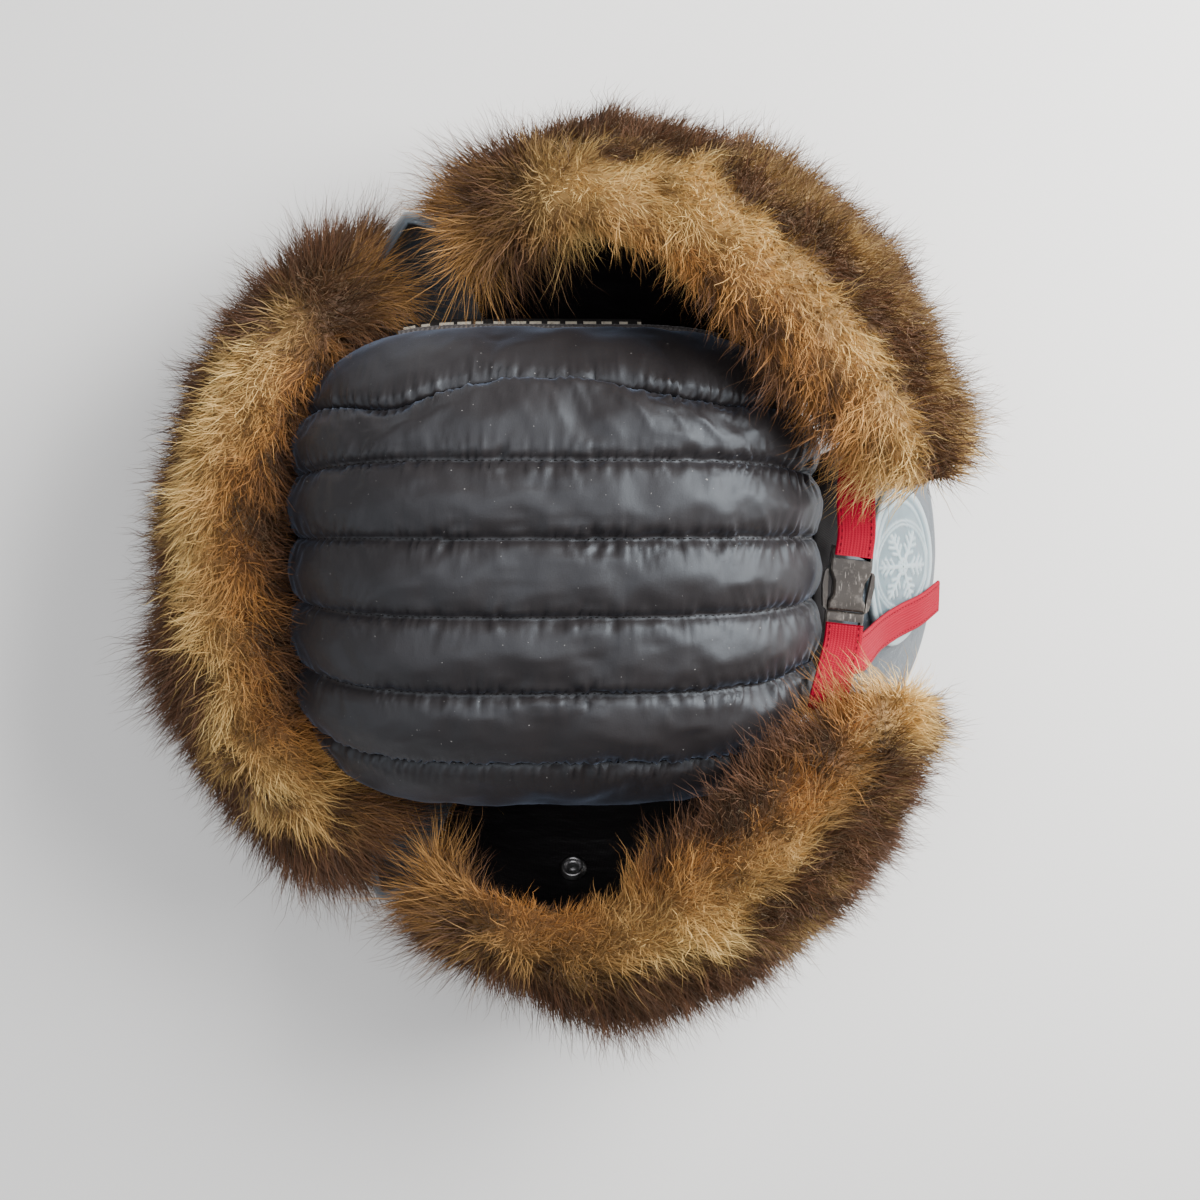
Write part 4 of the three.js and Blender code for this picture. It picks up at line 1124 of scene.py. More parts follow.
def lumpy(face, out, way, short):
    """The mass's face with lumps and swells, lower at both ends and where the hair is short."""
    line = np.linspace(0, 1, len(face))[:, None]
    inner = smooth_step(line, 0, 0.06) * smooth_step(1 - line, 0, 0.06)
    lump = LUMP_HEIGHT * bumps(face * (1, 1, 0.7), FUR_LUMP, seed=12) - END_DROP * (1 - inner)
    lump = lump + SWELL_HEIGHT * bumps(face, FUR_SWELL, seed=15) * inner
    lump = lump - THINNER * short * smooth_step(way, 0.6, 0.85)
    face = face + out * lump[..., None]
    face[..., 2] = np.maximum(face[..., 2], LOWEST_MASS)
    return face


def hidden_side(row, end_share):
    """The side of the mass that lies on the cloth."""
    places = [(end_share, -1, 0), (1, -1, 1), (1, 1, 1)] + [(s, 1, 0) for s in UNDER_SHARES]
    shares, sides, past = (np.array([column], float) for column in zip(*places))
    under = on_flap(row, shares, sides * FUR_SKIN, past * 2 * GAP)
    under[..., 2] = np.maximum(under[..., 2], LOWEST_UNDER)
    return under


def hair_comb(row, face, out, combed, inner_side):
    """The way the hair points: off the mass, round the crown, over a gusset and at random."""
    towards = near_gusset(row) * (1 - 0.85 * inner_side)
    sway = combed * (0.4 + 0.45 * bumps(face, 34, seed=21)) * (1 - np.abs(towards)) + 1.5 * towards
    tousle = np.stack([bumps(face, 13, seed=k) for k in (31, 32, 33)], axis=-1)
    return unit(out + sideways(row) * sway[..., None] + TOUSLE * tousle)


def hair_reach(word, row, face, way, inner_side, short):
    """How long the hair is at each place, as a share of its coat's length."""
    longer = np.abs(near_gusset(row)) * (1 - inner_side)
    longer = longer + np.abs(near_gusset(row, INNER_REACH)) * inner_side
    reach = 1 + (0.65 + 1.25 * inner_side) * longer + 0.25 * bumps(face, 18, seed=35)
    reach = reach + 0.45 * inner_side * (np.cos(np.radians(row["angle"])) > 0.7)
    for angle, wide, extra in LONGER_HAIR[word]:
        reach = reach + extra * np.exp(-((row["angle"] - angle) / wide) ** 2)
    return reach * (1 - SHORT_SHARE * short * smooth_step(way, 0.55, 0.8))


def fur_mass(word, material):
    """The mass of one flap's fur, with the comb and colour masks on its points."""
    table, end_share, combed, patches = FUR[word]
    row = row_at(table, angles_of(table, 1.7))
    keys = fur_keys(row, end_share)
    key_points = np.concatenate([on_flap(row, s, off, past) for s, off, past in keys], axis=1)
    face = finer_columns(key_points, FACE_STEPS)
    rows, visible = face.shape[:2]
    way = np.arange(visible) / (visible - 1)  # 0 at the foot, 1 where the fur ends inside the edge
    at_key = np.linspace(0, len(keys) - 1, visible)
    everywhere = np.ones((rows, visible))
    share = np.interp(at_key, range(len(keys)), [key[0] for key in keys]) * everywhere
    out = fan(row, share, np.interp(at_key, range(len(keys)), HAIR_TILT) * everywhere)
    inner_side = smooth_step(way, 0.72, 0.9)
    short = where_short(word, row)
    face = lumpy(face, out, way, short)
    masks = {"comb": hair_comb(row, face, out, combed, inner_side), "cover": everywhere,
             "reach": hair_reach(word, row, face, way, inner_side, short)}
    masks.update(colour_masks(row, share, face, patches, DARK_BANDS[word]))
    # Painted shade: where the hair towards the head is short, it turns amber, and brown on the side
    # facing the head, for the hollow's shade.
    masks["amber"] = np.maximum(masks["amber"], short * smooth_step(way, 0.45, 0.7))
    masks["dark"] = np.maximum(masks["dark"], 0.85 * short * inner_side)
    points = np.concatenate([face, hidden_side(row, end_share)], axis=1)
    columns = points.shape[1]
    spread = {"along": np.full(rows * columns, 0.12), "shade": np.full(rows * columns, 0.35),
              "lock": np.full(rows * columns, 0.45)}
    for name, values in masks.items():
        blank = np.zeros((rows, columns - visible, *values.shape[2:]))
        whole = np.concatenate([values, blank], axis=1)
        spread[name] = whole.reshape(rows * columns, *values.shape[2:])
    faces = grid_faces(rows, columns, wrap=True)
    ends = [list(range(columns)), list(range((rows - 1) * columns, rows * columns))[::-1]]
    flat = points.reshape(-1, 3)
    middle_row = faces[(rows // 2) * columns + visible // 2]
    a, b, c = flat[middle_row[0]], flat[middle_row[1]], flat[middle_row[2]]
    if np.cross(b - a, c - a) @ out[rows // 2, visible // 2] < 0:
        faces = faces[:, ::-1]
    else:
        ends = [end[::-1] for end in ends]
    return new_piece(word + "_fur_mass", flat, faces.tolist() + ends, material, attributes=spread)


# %% [markdown]
# ## Fur: the hairs
#
# The hairs are grown with Geometry Nodes. Points are scattered over the mass, and each gets a
# thin flat blade, turned along the comb and spun about itself. Once the blades are real mesh,
# their points move: tips lean towards the middle of the Voronoi cell at their root, which draws
# them into locks, and noise that changes along the hair makes them wave. Two coats use the same
# tree: a short dense one below, and long guard hairs with more curl. Towards a gusset the hair
# grows longer and leans over it. Inside the left ear flap it is short, so that the black lining
# and its press stud show.

# %% Geometry Nodes tree for a coat of hair
LOWEST_HAIR = 0.6
HAIR_LENGTHS = (0.55, 1.15)  # shares of the coat's length
WAVES_PER_METRE = 85.0
FULL_TURN = 6.283


class GeometryBoard(Board):
    """A geometry node tree with named inputs."""

    def __init__(self, name, inputs):
        super().__init__(bpy.data.node_groups.new(name, "GeometryNodeTree"))
        face = self.tree.interface
        face.new_socket("Geometry", in_out="INPUT", socket_type="NodeSocketGeometry")
        for label, kind in inputs.items():
            face.new_socket(label, in_out="INPUT", socket_type="NodeSocket" + kind)
        face.new_socket("Geometry", in_out="OUTPUT", socket_type="NodeSocketGeometry")
        self.entry = self.tree.nodes.new("NodeGroupInput")
        self.exit = self.tree.nodes.new("NodeGroupOutput")

    def given(self, label):
        return Wire(self, self.entry.outputs[label])

    def named(self, name, kind="FLOAT"):
        kinds = {"data_type": kind}
        return self.node("GeometryNodeInputNamedAttribute", kinds, {"Name": name}, "Attribute")

    def stored(self, geometry, name, value, kind="FLOAT", domain="POINT"):
        kinds = {"data_type": kind, "domain": domain}
        values = {"Geometry": geometry, "Name": name, "Value": value}
        return self.node("GeometryNodeStoreNamedAttribute", kinds, values)

    def random(self, low, high, seed):
        values = {2: low, 3: high, "Seed": seed}
        return self.node("FunctionNodeRandomValue", {"data_type": "FLOAT"}, values, 1)

    def random_vector(self, size, seed):
        values = {0: (-size,) * 3, 1: (size,) * 3, "Seed": seed}
        return self.node("FunctionNodeRandomValue", {"data_type": "FLOAT_VECTOR"}, values, 0)

    def finish(self, geometry, material):
        values = {"Geometry": geometry, "Material": material}
        self.feed(self.exit.inputs[0], self.node("GeometryNodeSetMaterial", {}, values))
        return self.tree


def grow(name, source, tree, **inputs):
    """Runs a tree on the source's mesh and returns the result as a plain mesh object."""
    host = bpy.data.objects.new(name + "_host", source.data)
    bpy.context.scene.collection.objects.link(host)
    nodes = host.modifiers.new("grow", "NODES")
    nodes.node_group = tree
    for item in tree.interface.items_tree:
        label = item.name.replace(" ", "_")
        if item.in_out == "INPUT" and label in inputs:
            nodes[item.identifier] = inputs[label]
    shown = host.evaluated_get(bpy.context.evaluated_depsgraph_get())
    mesh = bpy.data.meshes.new_from_object(shown)
    host.modifiers.clear()
    bpy.data.objects.remove(host)
    mesh.name = name
    mesh.shade_smooth()
    piece = bpy.data.objects.new(name, mesh)
    bpy.context.scene.collection.objects.link(piece)
    return piece


def strand(segments):
    """A flat blade of unit width and height that narrows to a point; height is kept as along."""
    heights = [k / segments for k in range(segments)]
    points = [(side * 0.5 * (1 - h) ** 0.7, 0, h) for h in heights for side in (-1, 1)] + [(0, 0, 1)]
    faces = [[2 * k, 2 * k + 1, 2 * k + 3, 2 * k + 2] for k in range(segments - 1)]
    faces.append([2 * segments - 2, 2 * segments - 1, 2 * segments])
    piece = new_piece(f"strand_{segments}", np.array(points) / MM, faces, None, smooth=False)
    along = piece.data.attributes.new("along", "FLOAT", "POINT")
    along.data.foreach_set("value", [point[2] for point in points])
    return piece


def hair_tree():
    board = GeometryBoard("coat_of_hair", {
        "Strand": "Object", "Density": "Float", "Length": "Float", "Width": "Float",
        "Stray": "Float", "Clump": "Float", "Clump size": "Float", "Lock size": "Float",
        "Wave": "Float", "Droop": "Float", "Seed": "Int", "Material": "Material"})
    seed = board.given("Seed")
    cover = board.named("cover")
    points = board.node("GeometryNodeDistributePointsOnFaces", {"distribute_method": "RANDOM"}, {
        "Mesh": board.given("Geometry"), "Density": board.given("Density") * cover, "Seed": seed})
    stray = board.random_vector(1.0, seed + 1)
    stray = board.vector_maths("SCALE", stray)
    board.feed(stray.socket.node.inputs["Scale"], board.given("Stray"))
    way = board.vector_maths("ADD", board.named("comb", "FLOAT_VECTOR"), stray)
    turned = board.node("FunctionNodeAlignRotationToVector", {"axis": "Z"}, {"Vector": way})
    spin = board.node("ShaderNodeCombineXYZ", {}, {2: board.random(0.0, FULL_TURN, seed + 4)})
    turned = board.node("FunctionNodeRotateRotation", {"rotation_space": "LOCAL"}, {
        "Rotation": turned, "Rotate By": spin})
    long = board.given("Length") * board.named("reach") * board.random(*HAIR_LENGTHS, seed + 2)
    sizes = board.node("ShaderNodeCombineXYZ", {}, {0: board.given("Width"), 1: 1.0, 2: long})
    blade = board.node("GeometryNodeObjectInfo", {}, {"Object": board.given("Strand")}, "Geometry")
    hairs = board.node("GeometryNodeInstanceOnPoints", {}, {
        "Points": points, "Instance": blade, "Rotation": turned, "Scale": sizes})
    place = board.node("GeometryNodeInputPosition")
    hairs = board.stored(hairs, "root", place, "FLOAT_VECTOR", "INSTANCE")
    hairs = board.stored(hairs, "shade", board.random(0.0, 1.0, seed + 3), "FLOAT", "INSTANCE")
    lock = board.node("ShaderNodeTexNoise", {}, {
        "Vector": place, "Scale": 1 / board.given("Lock size"), "Detail": 3.0}, 0)
    hairs = board.stored(hairs, "lock", lock, "FLOAT", "INSTANCE")
    hairs = board.node("GeometryNodeRealizeInstances", {}, {"Geometry": hairs})
    along = board.named("along")
    root = board.named("root", "FLOAT_VECTOR")
    scaled = board.vector_maths("SCALE", root)
    board.feed(scaled.socket.node.inputs["Scale"], 1 / board.given("Clump size"))
    cell = board.node("ShaderNodeTexVoronoi", {"feature": "F1"}, {
        "Vector": scaled, "Scale": 1.0}, "Position")
    lean = board.vector_maths("SCALE", board.vector_maths("SUBTRACT", cell, scaled))
    drawn = board.given("Clump size") * board.given("Clump") * along ** 1.6
    board.feed(lean.socket.node.inputs["Scale"], drawn)
    wavy = board.vector_maths("SCALE", root)
    board.feed(wavy.socket.node.inputs["Scale"], WAVES_PER_METRE)
    rise = board.node("ShaderNodeCombineXYZ", {}, {0: along * 1.1, 1: along * -0.8, 2: along * 1.3})
    ripple = board.node("ShaderNodeTexNoise", {}, {
        "Vector": board.vector_maths("ADD", wavy, rise), "Scale": 1.0, "Detail": 2.0}, "Color")
    ripple = board.vector_maths("SCALE", board.vector_maths("SUBTRACT", ripple, (0.5, 0.5, 0.5)))
    board.feed(ripple.socket.node.inputs["Scale"], board.given("Wave") * along ** 1.3)
    fall = board.node("ShaderNodeCombineXYZ", {}, {2: board.given("Droop") * -1.0 * along ** 2})
    moved = board.vector_maths("ADD", board.vector_maths("ADD", lean, ripple), fall)
    moved = board.vector_maths("ADD", place, moved)
    moved = board.vector_maths("MAXIMUM", moved, (-1.0, -1.0, LOWEST_HAIR * MM))
    hairs = board.node("GeometryNodeSetPosition", {}, {"Geometry": hairs, "Position": moved})
    return board.finish(hairs, board.given("Material"))


# %% [markdown]
# ## Fur: colour
#
# One hair is darker at its root, amber to pale gold along its length, and brown at the tip where
# the coat is brown or painted in shade. The masks say where: brown tips round the outside and in
# patches, and painted shade towards the head and round the gussets, in brown and amber. Every hair
# also has its own random tone, which gives the streaks.

# %% Fur finish and coats
COATS = [  # name, hairs, length, width, stray, clump, clump size, wave, droop, segments
    ("underfur", 31000, 12.5, 0.54, 0.45, 0.26, 6.0, 8.5, 1.0, 2),
    ("guard_hair", 15000, 19.5, 0.36, 0.46, 0.42, 10.0, 20.0, 2.5, 4),
]
LOCK_SIZE = 11.0


def golden_fur():
    made = Finish("golden fur", Roughness=0.62, IOR=1.4, Sheen_Weight=0.15, Sheen_Roughness=0.5,
                  Sheen_Tint=(1, 0.82, 0.5, 1))
    # The amber mask is painted shade; the dark mask is real brown and painted shade next to the crown.
    along, dark, amber = made.attribute("along"), made.attribute("dark"), made.attribute("amber")
    lock = ((made.attribute("lock") - 0.5) * 2.6 + 0.5).capped()
    shade = made.attribute("shade") * 0.45 + lock * 0.55
    gold = made.mix(shade, (0.58, 0.31, 0.075, 1), (1.0, 0.78, 0.33, 1))
    # Painted shade: the deep amber used where the amber mask says the hair lies in shade.
    shaded_warm = made.mix(shade, (0.15, 0.05, 0.01, 1), (0.64, 0.29, 0.07, 1))
    brown = made.mix(shade, (0.018, 0.008, 0.005, 1), (0.17, 0.075, 0.036, 1))
    root = made.mix(shade, (0.13, 0.062, 0.022, 1), (0.42, 0.24, 0.095, 1))
    # Roots darken where the dark and amber masks are: real brown, and painted shade.
    root = made.mix((dark + amber * 0.5).capped(), root, (0.05, 0.02, 0.008, 1))
    length = made.mix(amber, gold, shaded_warm)
    streak = ((0.42 - lock) * 3.2).capped() * 0.75
    dark = (dark + streak * 0.6).capped()
    # Brown tips where the dark mask is: real at the rim and in patches, painted shade next to the crown.
    tipped = made.mix((dark * 1.9 + along * 0.7 - 0.6).capped() * (dark * 3.0).capped(), length, brown)
    made.give("Base Color", made.mix((along * 2.4 + 0.12).capped(), root, tipped))
    return made.material


fur_finish = golden_fur()
coat_tree = hair_tree()
STRANDS = {segments: strand(segments) for segments in (2, 4)}
for word in FUR:
    mass = fur_mass(word, fur_finish)
    cover = mass.data.attributes["cover"].data
    area = sum(p.area for p in mass.data.polygons if cover[p.vertices[0]].value > 0)
    settle(mass, "fur", ("front_flap_fur" if word == "front" else f"ear_flap_{word}_fur"))
    for number, row in enumerate(COATS):
        coat, hairs, long, width, stray, clump, cell, wave, droop, segments = row
        grown = grow(f"{word}_{coat}", mass, coat_tree, Strand=STRANDS[segments], Density=hairs / area,
                     Length=long * MM, Width=width * MM, Stray=stray, Clump=clump,
                     Clump_size=cell * MM, Lock_size=LOCK_SIZE * MM, Wave=wave * MM, Droop=droop * MM,
                     Seed=10 * number + len(word), Material=fur_finish)
        settle(grown, "fur")
for blade in STRANDS.values():
    bpy.data.objects.remove(blade)

# %% [markdown]
# ## Seams, piping and tape
#
# Thread lies in each seam as short stitches that sink between the channels. Along the side of the
# crown runs a raised piping, and below it on the right a woven tape with pale dashes. Stitches
# repeat along a line, so a small Geometry Nodes tree sets them; piping and tape are sections
# swept along the wall.

# %% Swept bodies
def outward(points, faces):
    """The same faces, turned if the closed body would be inside out."""
    flat = np.asarray(points, float)
    volume = 0.0
    for face in faces:
        a = flat[face[0]]
        for k in range(1, len(face) - 1):
            volume += float(np.dot(a, np.cross(flat[face[k]], flat[face[k + 1]])))
    return faces if volume > 0 else [list(face)[::-1] for face in faces]


def swept(name, sections, material):
    """A closed body over sections, with its map in mm along and round it."""
    rows, columns = sections.shape[:2]
    ends = [list(range(columns))[::-1], list(range((rows - 1) * columns, rows * columns))]
    faces = outward(sections.reshape(-1, 3), grid_faces(rows, columns, wrap=True).tolist() + ends)
    middle = sections.mean(axis=1)
    along = np.cumsum(np.linalg.norm(np.diff(middle, axis=0, prepend=middle[:1]), axis=1))
    loop = sections[rows // 2]
    around = np.cumsum(np.linalg.norm(np.diff(loop, axis=0, prepend=loop[:1]), axis=1))
    maps = np.stack(np.meshgrid(along, around, indexing="ij"), axis=-1).reshape(-1, 2)
    return new_piece(name, sections.reshape(-1, 3), faces, material, maps)


def trim_sections(turn, z, span, steps, outline):
    """Sections along the crown's side; outline lists (out from the wall, up) in mm."""
    u = np.linspace(*span, steps + 1)
    v = np.full_like(u, turn)
    base = wall(u, v, np.full_like(u, z))
    out = unit(dome_normal(u, v) * (1, 1, 0))
    away, up = np.array(outline)[:, 0], np.array(outline)[:, 1]
    return base[:, None] + out[:, None] * away[None, :, None] + np.array([0, 0, 1.0]) * up[None, :, None]


PIPING_RADIUS = 1.5
PIPING_HEIGHT = 76
PIPING_SPAN = (-0.72, 0.76)
TAPE_SPAN = (-0.7, 0.4)
TAPE_WIDTH = 9
TAPE_THICK = 1.2
TAPE_LEAN = math.radians(33)


def piping_outline(sides=16):
    turns = 2 * np.pi * (np.arange(sides) + 0.5) / sides
    return np.stack([PIPING_RADIUS * (1 + np.cos(turns)) + GAP, PIPING_RADIUS * np.sin(turns)], axis=1)


def tape_outline(cells=8):
    """The tape leans outwards below the piping; its outer face comes last."""
    along = np.array([math.sin(TAPE_LEAN), -math.cos(TAPE_LEAN)])
    thick = np.array([math.cos(TAPE_LEAN), math.sin(TAPE_LEAN)]) * TAPE_THICK
    top = np.array([GAP, -PIPING_RADIUS - GAP - thick[1]])
    down = [top + along * TAPE_WIDTH * k / cells for k in range(cells + 1)]
    return np.array(down + [point + thick for point in reversed(down)])


# %% Piping and tape finishes
DASH_PITCH = 7.4
DASH_HALF_WIDTH = 2.1


def piping_satin():
    made = Finish("piping satin", Sheen_Weight=0.3)
    turns = (made.cloth_map("X") * 3.2 + made.cloth_map("Y") * 1.4).sine()
    grime = made.noise(made.place(), 90, 3)
    made.give("Base Color", made.mix(grime, (0.03, 0.026, 0.027, 1), (0.085, 0.075, 0.074, 1)))
    made.give("Roughness", 0.4 + grime * 0.2)
    made.give("Normal", made.bump(turns, 0.0002, 0.5))
    return made.material


def dashed_tape():
    """Black tape with pale dashes of uneven length in one band."""
    made = Finish("dashed tape", Roughness=0.75)
    along, across = made.cloth_map("X"), made.cloth_map("Y")
    cell = (along / DASH_PITCH).floor()
    chance = made.node("ShaderNodeTexWhiteNoise", {"noise_dimensions": "1D"}, {"W": cell}, "Value")
    dash = (along / DASH_PITCH).fraction() < 0.42 + chance * 0.42
    middle = TAPE_WIDTH * 1.5 + TAPE_THICK
    band = (across - middle).size() < DASH_HALF_WIDTH
    weave = (across * 9).sine() * (along * 9).sine()
    worn = made.ramp(made.noise(made.place(), 700, 2), [(0.0, 0.35), (0.5, 1.0)])
    dark = made.mix(made.noise(made.place(), 60, 2), (0.008, 0.007, 0.007, 1), (0.022, 0.019, 0.018, 1))
    made.give("Base Color", made.mix(dash * band * worn, dark, (0.72, 0.66, 0.54, 1)))
    made.give("Normal", made.bump(weave, 0.00015, 0.5))
    return made.material


piping_finish = piping_satin()
for word, turn in (("right", 1), ("left", -1)):
    sections = trim_sections(turn, PIPING_HEIGHT, PIPING_SPAN, 110, piping_outline())
    settle(swept("piping_" + word, sections, piping_finish), "piping", "side_piping_" + word)
sections = trim_sections(1, PIPING_HEIGHT, TAPE_SPAN, 90, tape_outline())
settle(swept("dashed_side_tape", sections, dashed_tape()), "tape", "dash_tape")

# %% Stitches along lines
def stitch_tree():
    """One small rounded stitch at each pitch along the lines it is given."""
    board = GeometryBoard("stitches", {
        "Pitch": "Float", "Length": "Float", "Thickness": "Float", "Material": "Material"})
    line = board.node("GeometryNodeMeshToCurve", {}, {"Mesh": board.given("Geometry")})
    line = board.node("GeometryNodeResampleCurve", {"mode": "LENGTH"}, {
        "Curve": line, "Length": board.given("Pitch")})
    tangent = board.node("GeometryNodeInputTangent")
    turned = board.node("FunctionNodeAlignRotationToVector", {"axis": "X"}, {"Vector": tangent})
    stitch = board.node("GeometryNodeMeshUVSphere", {}, {"Segments": 6, "Rings": 4, "Radius": 0.5})
    sizes = board.node("ShaderNodeCombineXYZ", {}, {
        0: board.given("Length"), 1: board.given("Thickness"), 2: board.given("Thickness")})
    made = board.node("GeometryNodeInstanceOnPoints", {}, {
        "Points": line, "Instance": stitch, "Rotation": turned, "Scale": sizes})
    made = board.node("GeometryNodeRealizeInstances", {}, {"Geometry": made})
    return board.finish(made, board.given("Material"))


def sewn(name, lines, pitch, length, thickness, material, slot):
    """Stitches along lines of points in mm, as one piece."""
    points, edges = [], []
    for line in lines:
        first = len(points)
        points += (np.asarray(line) * MM).tolist()
        edges += [(first + k, first + k + 1) for k in range(len(line) - 1)]
    mesh = bpy.data.meshes.new(name + "_lines")
    mesh.from_pydata(points, edges, [])
    guide = bpy.data.objects.new(name + "_lines", mesh)
    made = grow(name, guide, STITCH_TREE, Pitch=pitch * MM, Length=length * MM, Thickness=thickness * MM,
                Material=material)
    bpy.data.objects.remove(guide)
    return settle(made, slot)


def thread(name, dark, light):
    """A dull finish for thread, between two shades."""
    made = Finish(name, Roughness=0.9, Specular_IOR_Level=0.15)
    made.give("Base Color", made.mix(made.noise(made.place(), 400, 2), (*dark, 1), (*light, 1)))
    return made.material


STITCH_TREE = stitch_tree()
black_thread = thread("black thread", (0.002, 0.0018, 0.002), (0.007, 0.006, 0.006))
THREAD_SUNK = 0.05
seam_lines = []
for k in range(CHANNELS + 1):
    column = int(np.argmin(np.abs(fine_v - SEAM * (2 * k / CHANNELS - 1))))
    line = crown_top[3:-3, column] - dome_normal(FU[3:-3, column], FV[3:-3, column]) * THREAD_SUNK
    seam_lines.append(line)
sewn("quilting_stitches", seam_lines, 2.5, 1.7, 0.55, black_thread, "quilt_nylon")

# %% [markdown]
# ## Patch, press stud, straps and buckle
#
# The rubber patch is one moulding: a base, a raised border and thin raised lines. Its relief here
# is a plain six-armed star with rings. The straps are flat webbing that follows the same route as
# the CAD part, with rounded edges, ribs in the weave and rows of stitches. The buckle keeps the
# CAD part's shape and gets the small rounded edges that a moulded part has.

# %% Rubber patch with a raised star
PATCH_ANGLE = -1.0
PATCH_SHARE = 0.62
PATCH_HALF_ANGLE = 13.5
PATCH_HALF_SHARE = 0.26
PATCH_BASE = 1.8
PATCH_BORDER = 2.8
PATCH_LIFT = GAP + 0.2
RELIEF = 0.55
STAR_REACH = 0.66
STAR_WIDTH = 0.045
STAR_FORKS = ((0.38, 0.17), (0.58, 0.2), (0.78, 0.13))  # place along an arm, and reach
FORK_TURN = math.radians(52)
STAR_RINGS = (0.74, 0.81)
STAR_STRETCH = (1.45, 0.95)  # keeps the star round on the oval patch


def near_line(x, y, start, end, width):
    """1 on a line between two points, falling to 0 at its width."""
    dx, dy = end[0] - start[0], end[1] - start[1]
    t = np.clip(((x - start[0]) * dx + (y - start[1]) * dy) / (dx * dx + dy * dy), 0, 1)
    away = np.hypot(x - start[0] - t * dx, y - start[1] - t * dy)
    return 1 - smooth_step(away, width * 0.55, width * 1.1)


def star_relief(x, y):
    """Height from 0 to 1 of the raised lines, on a disc of radius 1."""
    radius = np.hypot(x, y)
    made = np.zeros_like(x)
    for k in range(6):
        turn = math.radians(60 * k + 30)
        tip = (STAR_REACH * math.cos(turn), STAR_REACH * math.sin(turn))
        made = np.maximum(made, near_line(x, y, (0, 0), tip, STAR_WIDTH))
        for place, reach in STAR_FORKS:
            fork = (tip[0] * place, tip[1] * place)
            for side in (-1, 1):
                bent = turn + side * FORK_TURN
                end = (fork[0] + reach * math.cos(bent), fork[1] + reach * math.sin(bent))
                made = np.maximum(made, near_line(x, y, fork, end, STAR_WIDTH * 0.8))
    for ring in STAR_RINGS:
        made = np.maximum(made, 1 - smooth_step(np.abs(radius - ring), 0.01, 0.03))
    return np.maximum(made, 1 - smooth_step(np.abs(radius - 0.12), 0.02, 0.05))


def patch_points(rho, turn, up):
    """Places on the oval patch: share of its radius, turn round it and height over its foot."""
    angle = PATCH_ANGLE + PATCH_HALF_ANGLE * rho * np.cos(turn)
    share = PATCH_SHARE + PATCH_HALF_SHARE * rho * np.sin(turn)
    made = []
    for a, s, h in zip(angle.ravel(), share.ravel(), np.broadcast_to(up, angle.shape).ravel()):
        made.append((a, s, CLOTH / 2 + PATCH_LIFT + h))
    places = np.array(made)
    row = row_at(NECK_FLAP, places[:, 0])
    return on_flap(row, places[:, 1:2], places[:, 2:3])[:, 0].reshape(*angle.shape, 3)


def rubber_patch():
    made = Finish("pale moulded rubber", Roughness=0.42, Coat_Roughness=0.3, Subsurface_Weight=0.15,
                  Subsurface_Scale=0.002)
    raised = made.attribute("raised")
    grime = made.noise(made.place(), 120, 4)
    base = made.mix(grime, (0.10, 0.15, 0.175, 1), (0.19, 0.26, 0.29, 1))
    made.give("Base Color", made.mix(raised, base, (0.34, 0.42, 0.45, 1)))
    made.give("Coat Weight", 0.15 + raised * 0.2)
    made.give("Normal", made.bump(made.noise(made.place(), 900, 2), 0.0001, 0.4))
    return made.material


def build_patch(rings=46, sides=132):
    turns = 2 * np.pi * np.arange(sides) / sides
    rho, turn = np.meshgrid(np.linspace(0.012, 1, rings), turns, indexing="ij")
    wide, tall = STAR_STRETCH
    relief = star_relief(rho * np.cos(turn) * wide, rho * np.sin(turn) * tall) * (rho < 0.86)
    relief = np.maximum(relief, 1 - smooth_step(np.abs(rho - 0.8), 0.012, 0.03))
    border = smooth_step(rho, 0.87, 0.9)
    height = PATCH_BASE + (PATCH_BORDER - PATCH_BASE) * border + RELIEF * relief * (1 - border)
    height = height - 0.7 * smooth_step(rho, 0.965, 1.0) ** 2
    top = patch_points(rho, turn, height)
    under = patch_points(rho[[0, -1]], turn[[0, -1]], 0.0)
    points = np.concatenate([top.reshape(-1, 3), under[::-1].reshape(-1, 3)])
    faces = grid_faces(rings + 2, sides, wrap=True).tolist()
    faces += [list(range(sides))[::-1], list(range((rings + 1) * sides, (rings + 2) * sides))]
    raised = np.concatenate([np.maximum(relief, border).ravel(), np.zeros(2 * sides)])
    faces = outward(points, faces)
    return new_piece("rubber_patch", points, faces, rubber_patch(), attributes={"raised": raised})


settle(build_patch(), "patch_rubber", "back_patch")

# %% Press stud on the lining
SNAP_RADIUS = 6
SNAP_BOW = 0.85  # room for the curve of the cloth under the stud
SNAP_PLACE = (-87, 0.3)
SNAP_PROFILE = [  # (distance from the middle, height), as shares of the radius
    (0.02, 0.19), (0.14, 0.19), (0.2, 0.16), (0.34, 0.13), (0.46, 0.14), (0.53, 0.2), (0.58, 0.34),
    (0.64, 0.39), (0.76, 0.4), (0.84, 0.36), (0.89, 0.27), (0.96, 0.17), (1.0, 0.1), (1.0, 0.0),
    (0.9, 0.0),
]


def seat_on(table, angle, s, off):
    """A place over a flap's cloth, and the way the cloth looks there."""
    row = row_at(table, [angle])
    at = on_flap(row, [s], off)[0, 0]
    return at, unit(on_flap(row, [s], off + math.copysign(1, off))[0, 0] - at)


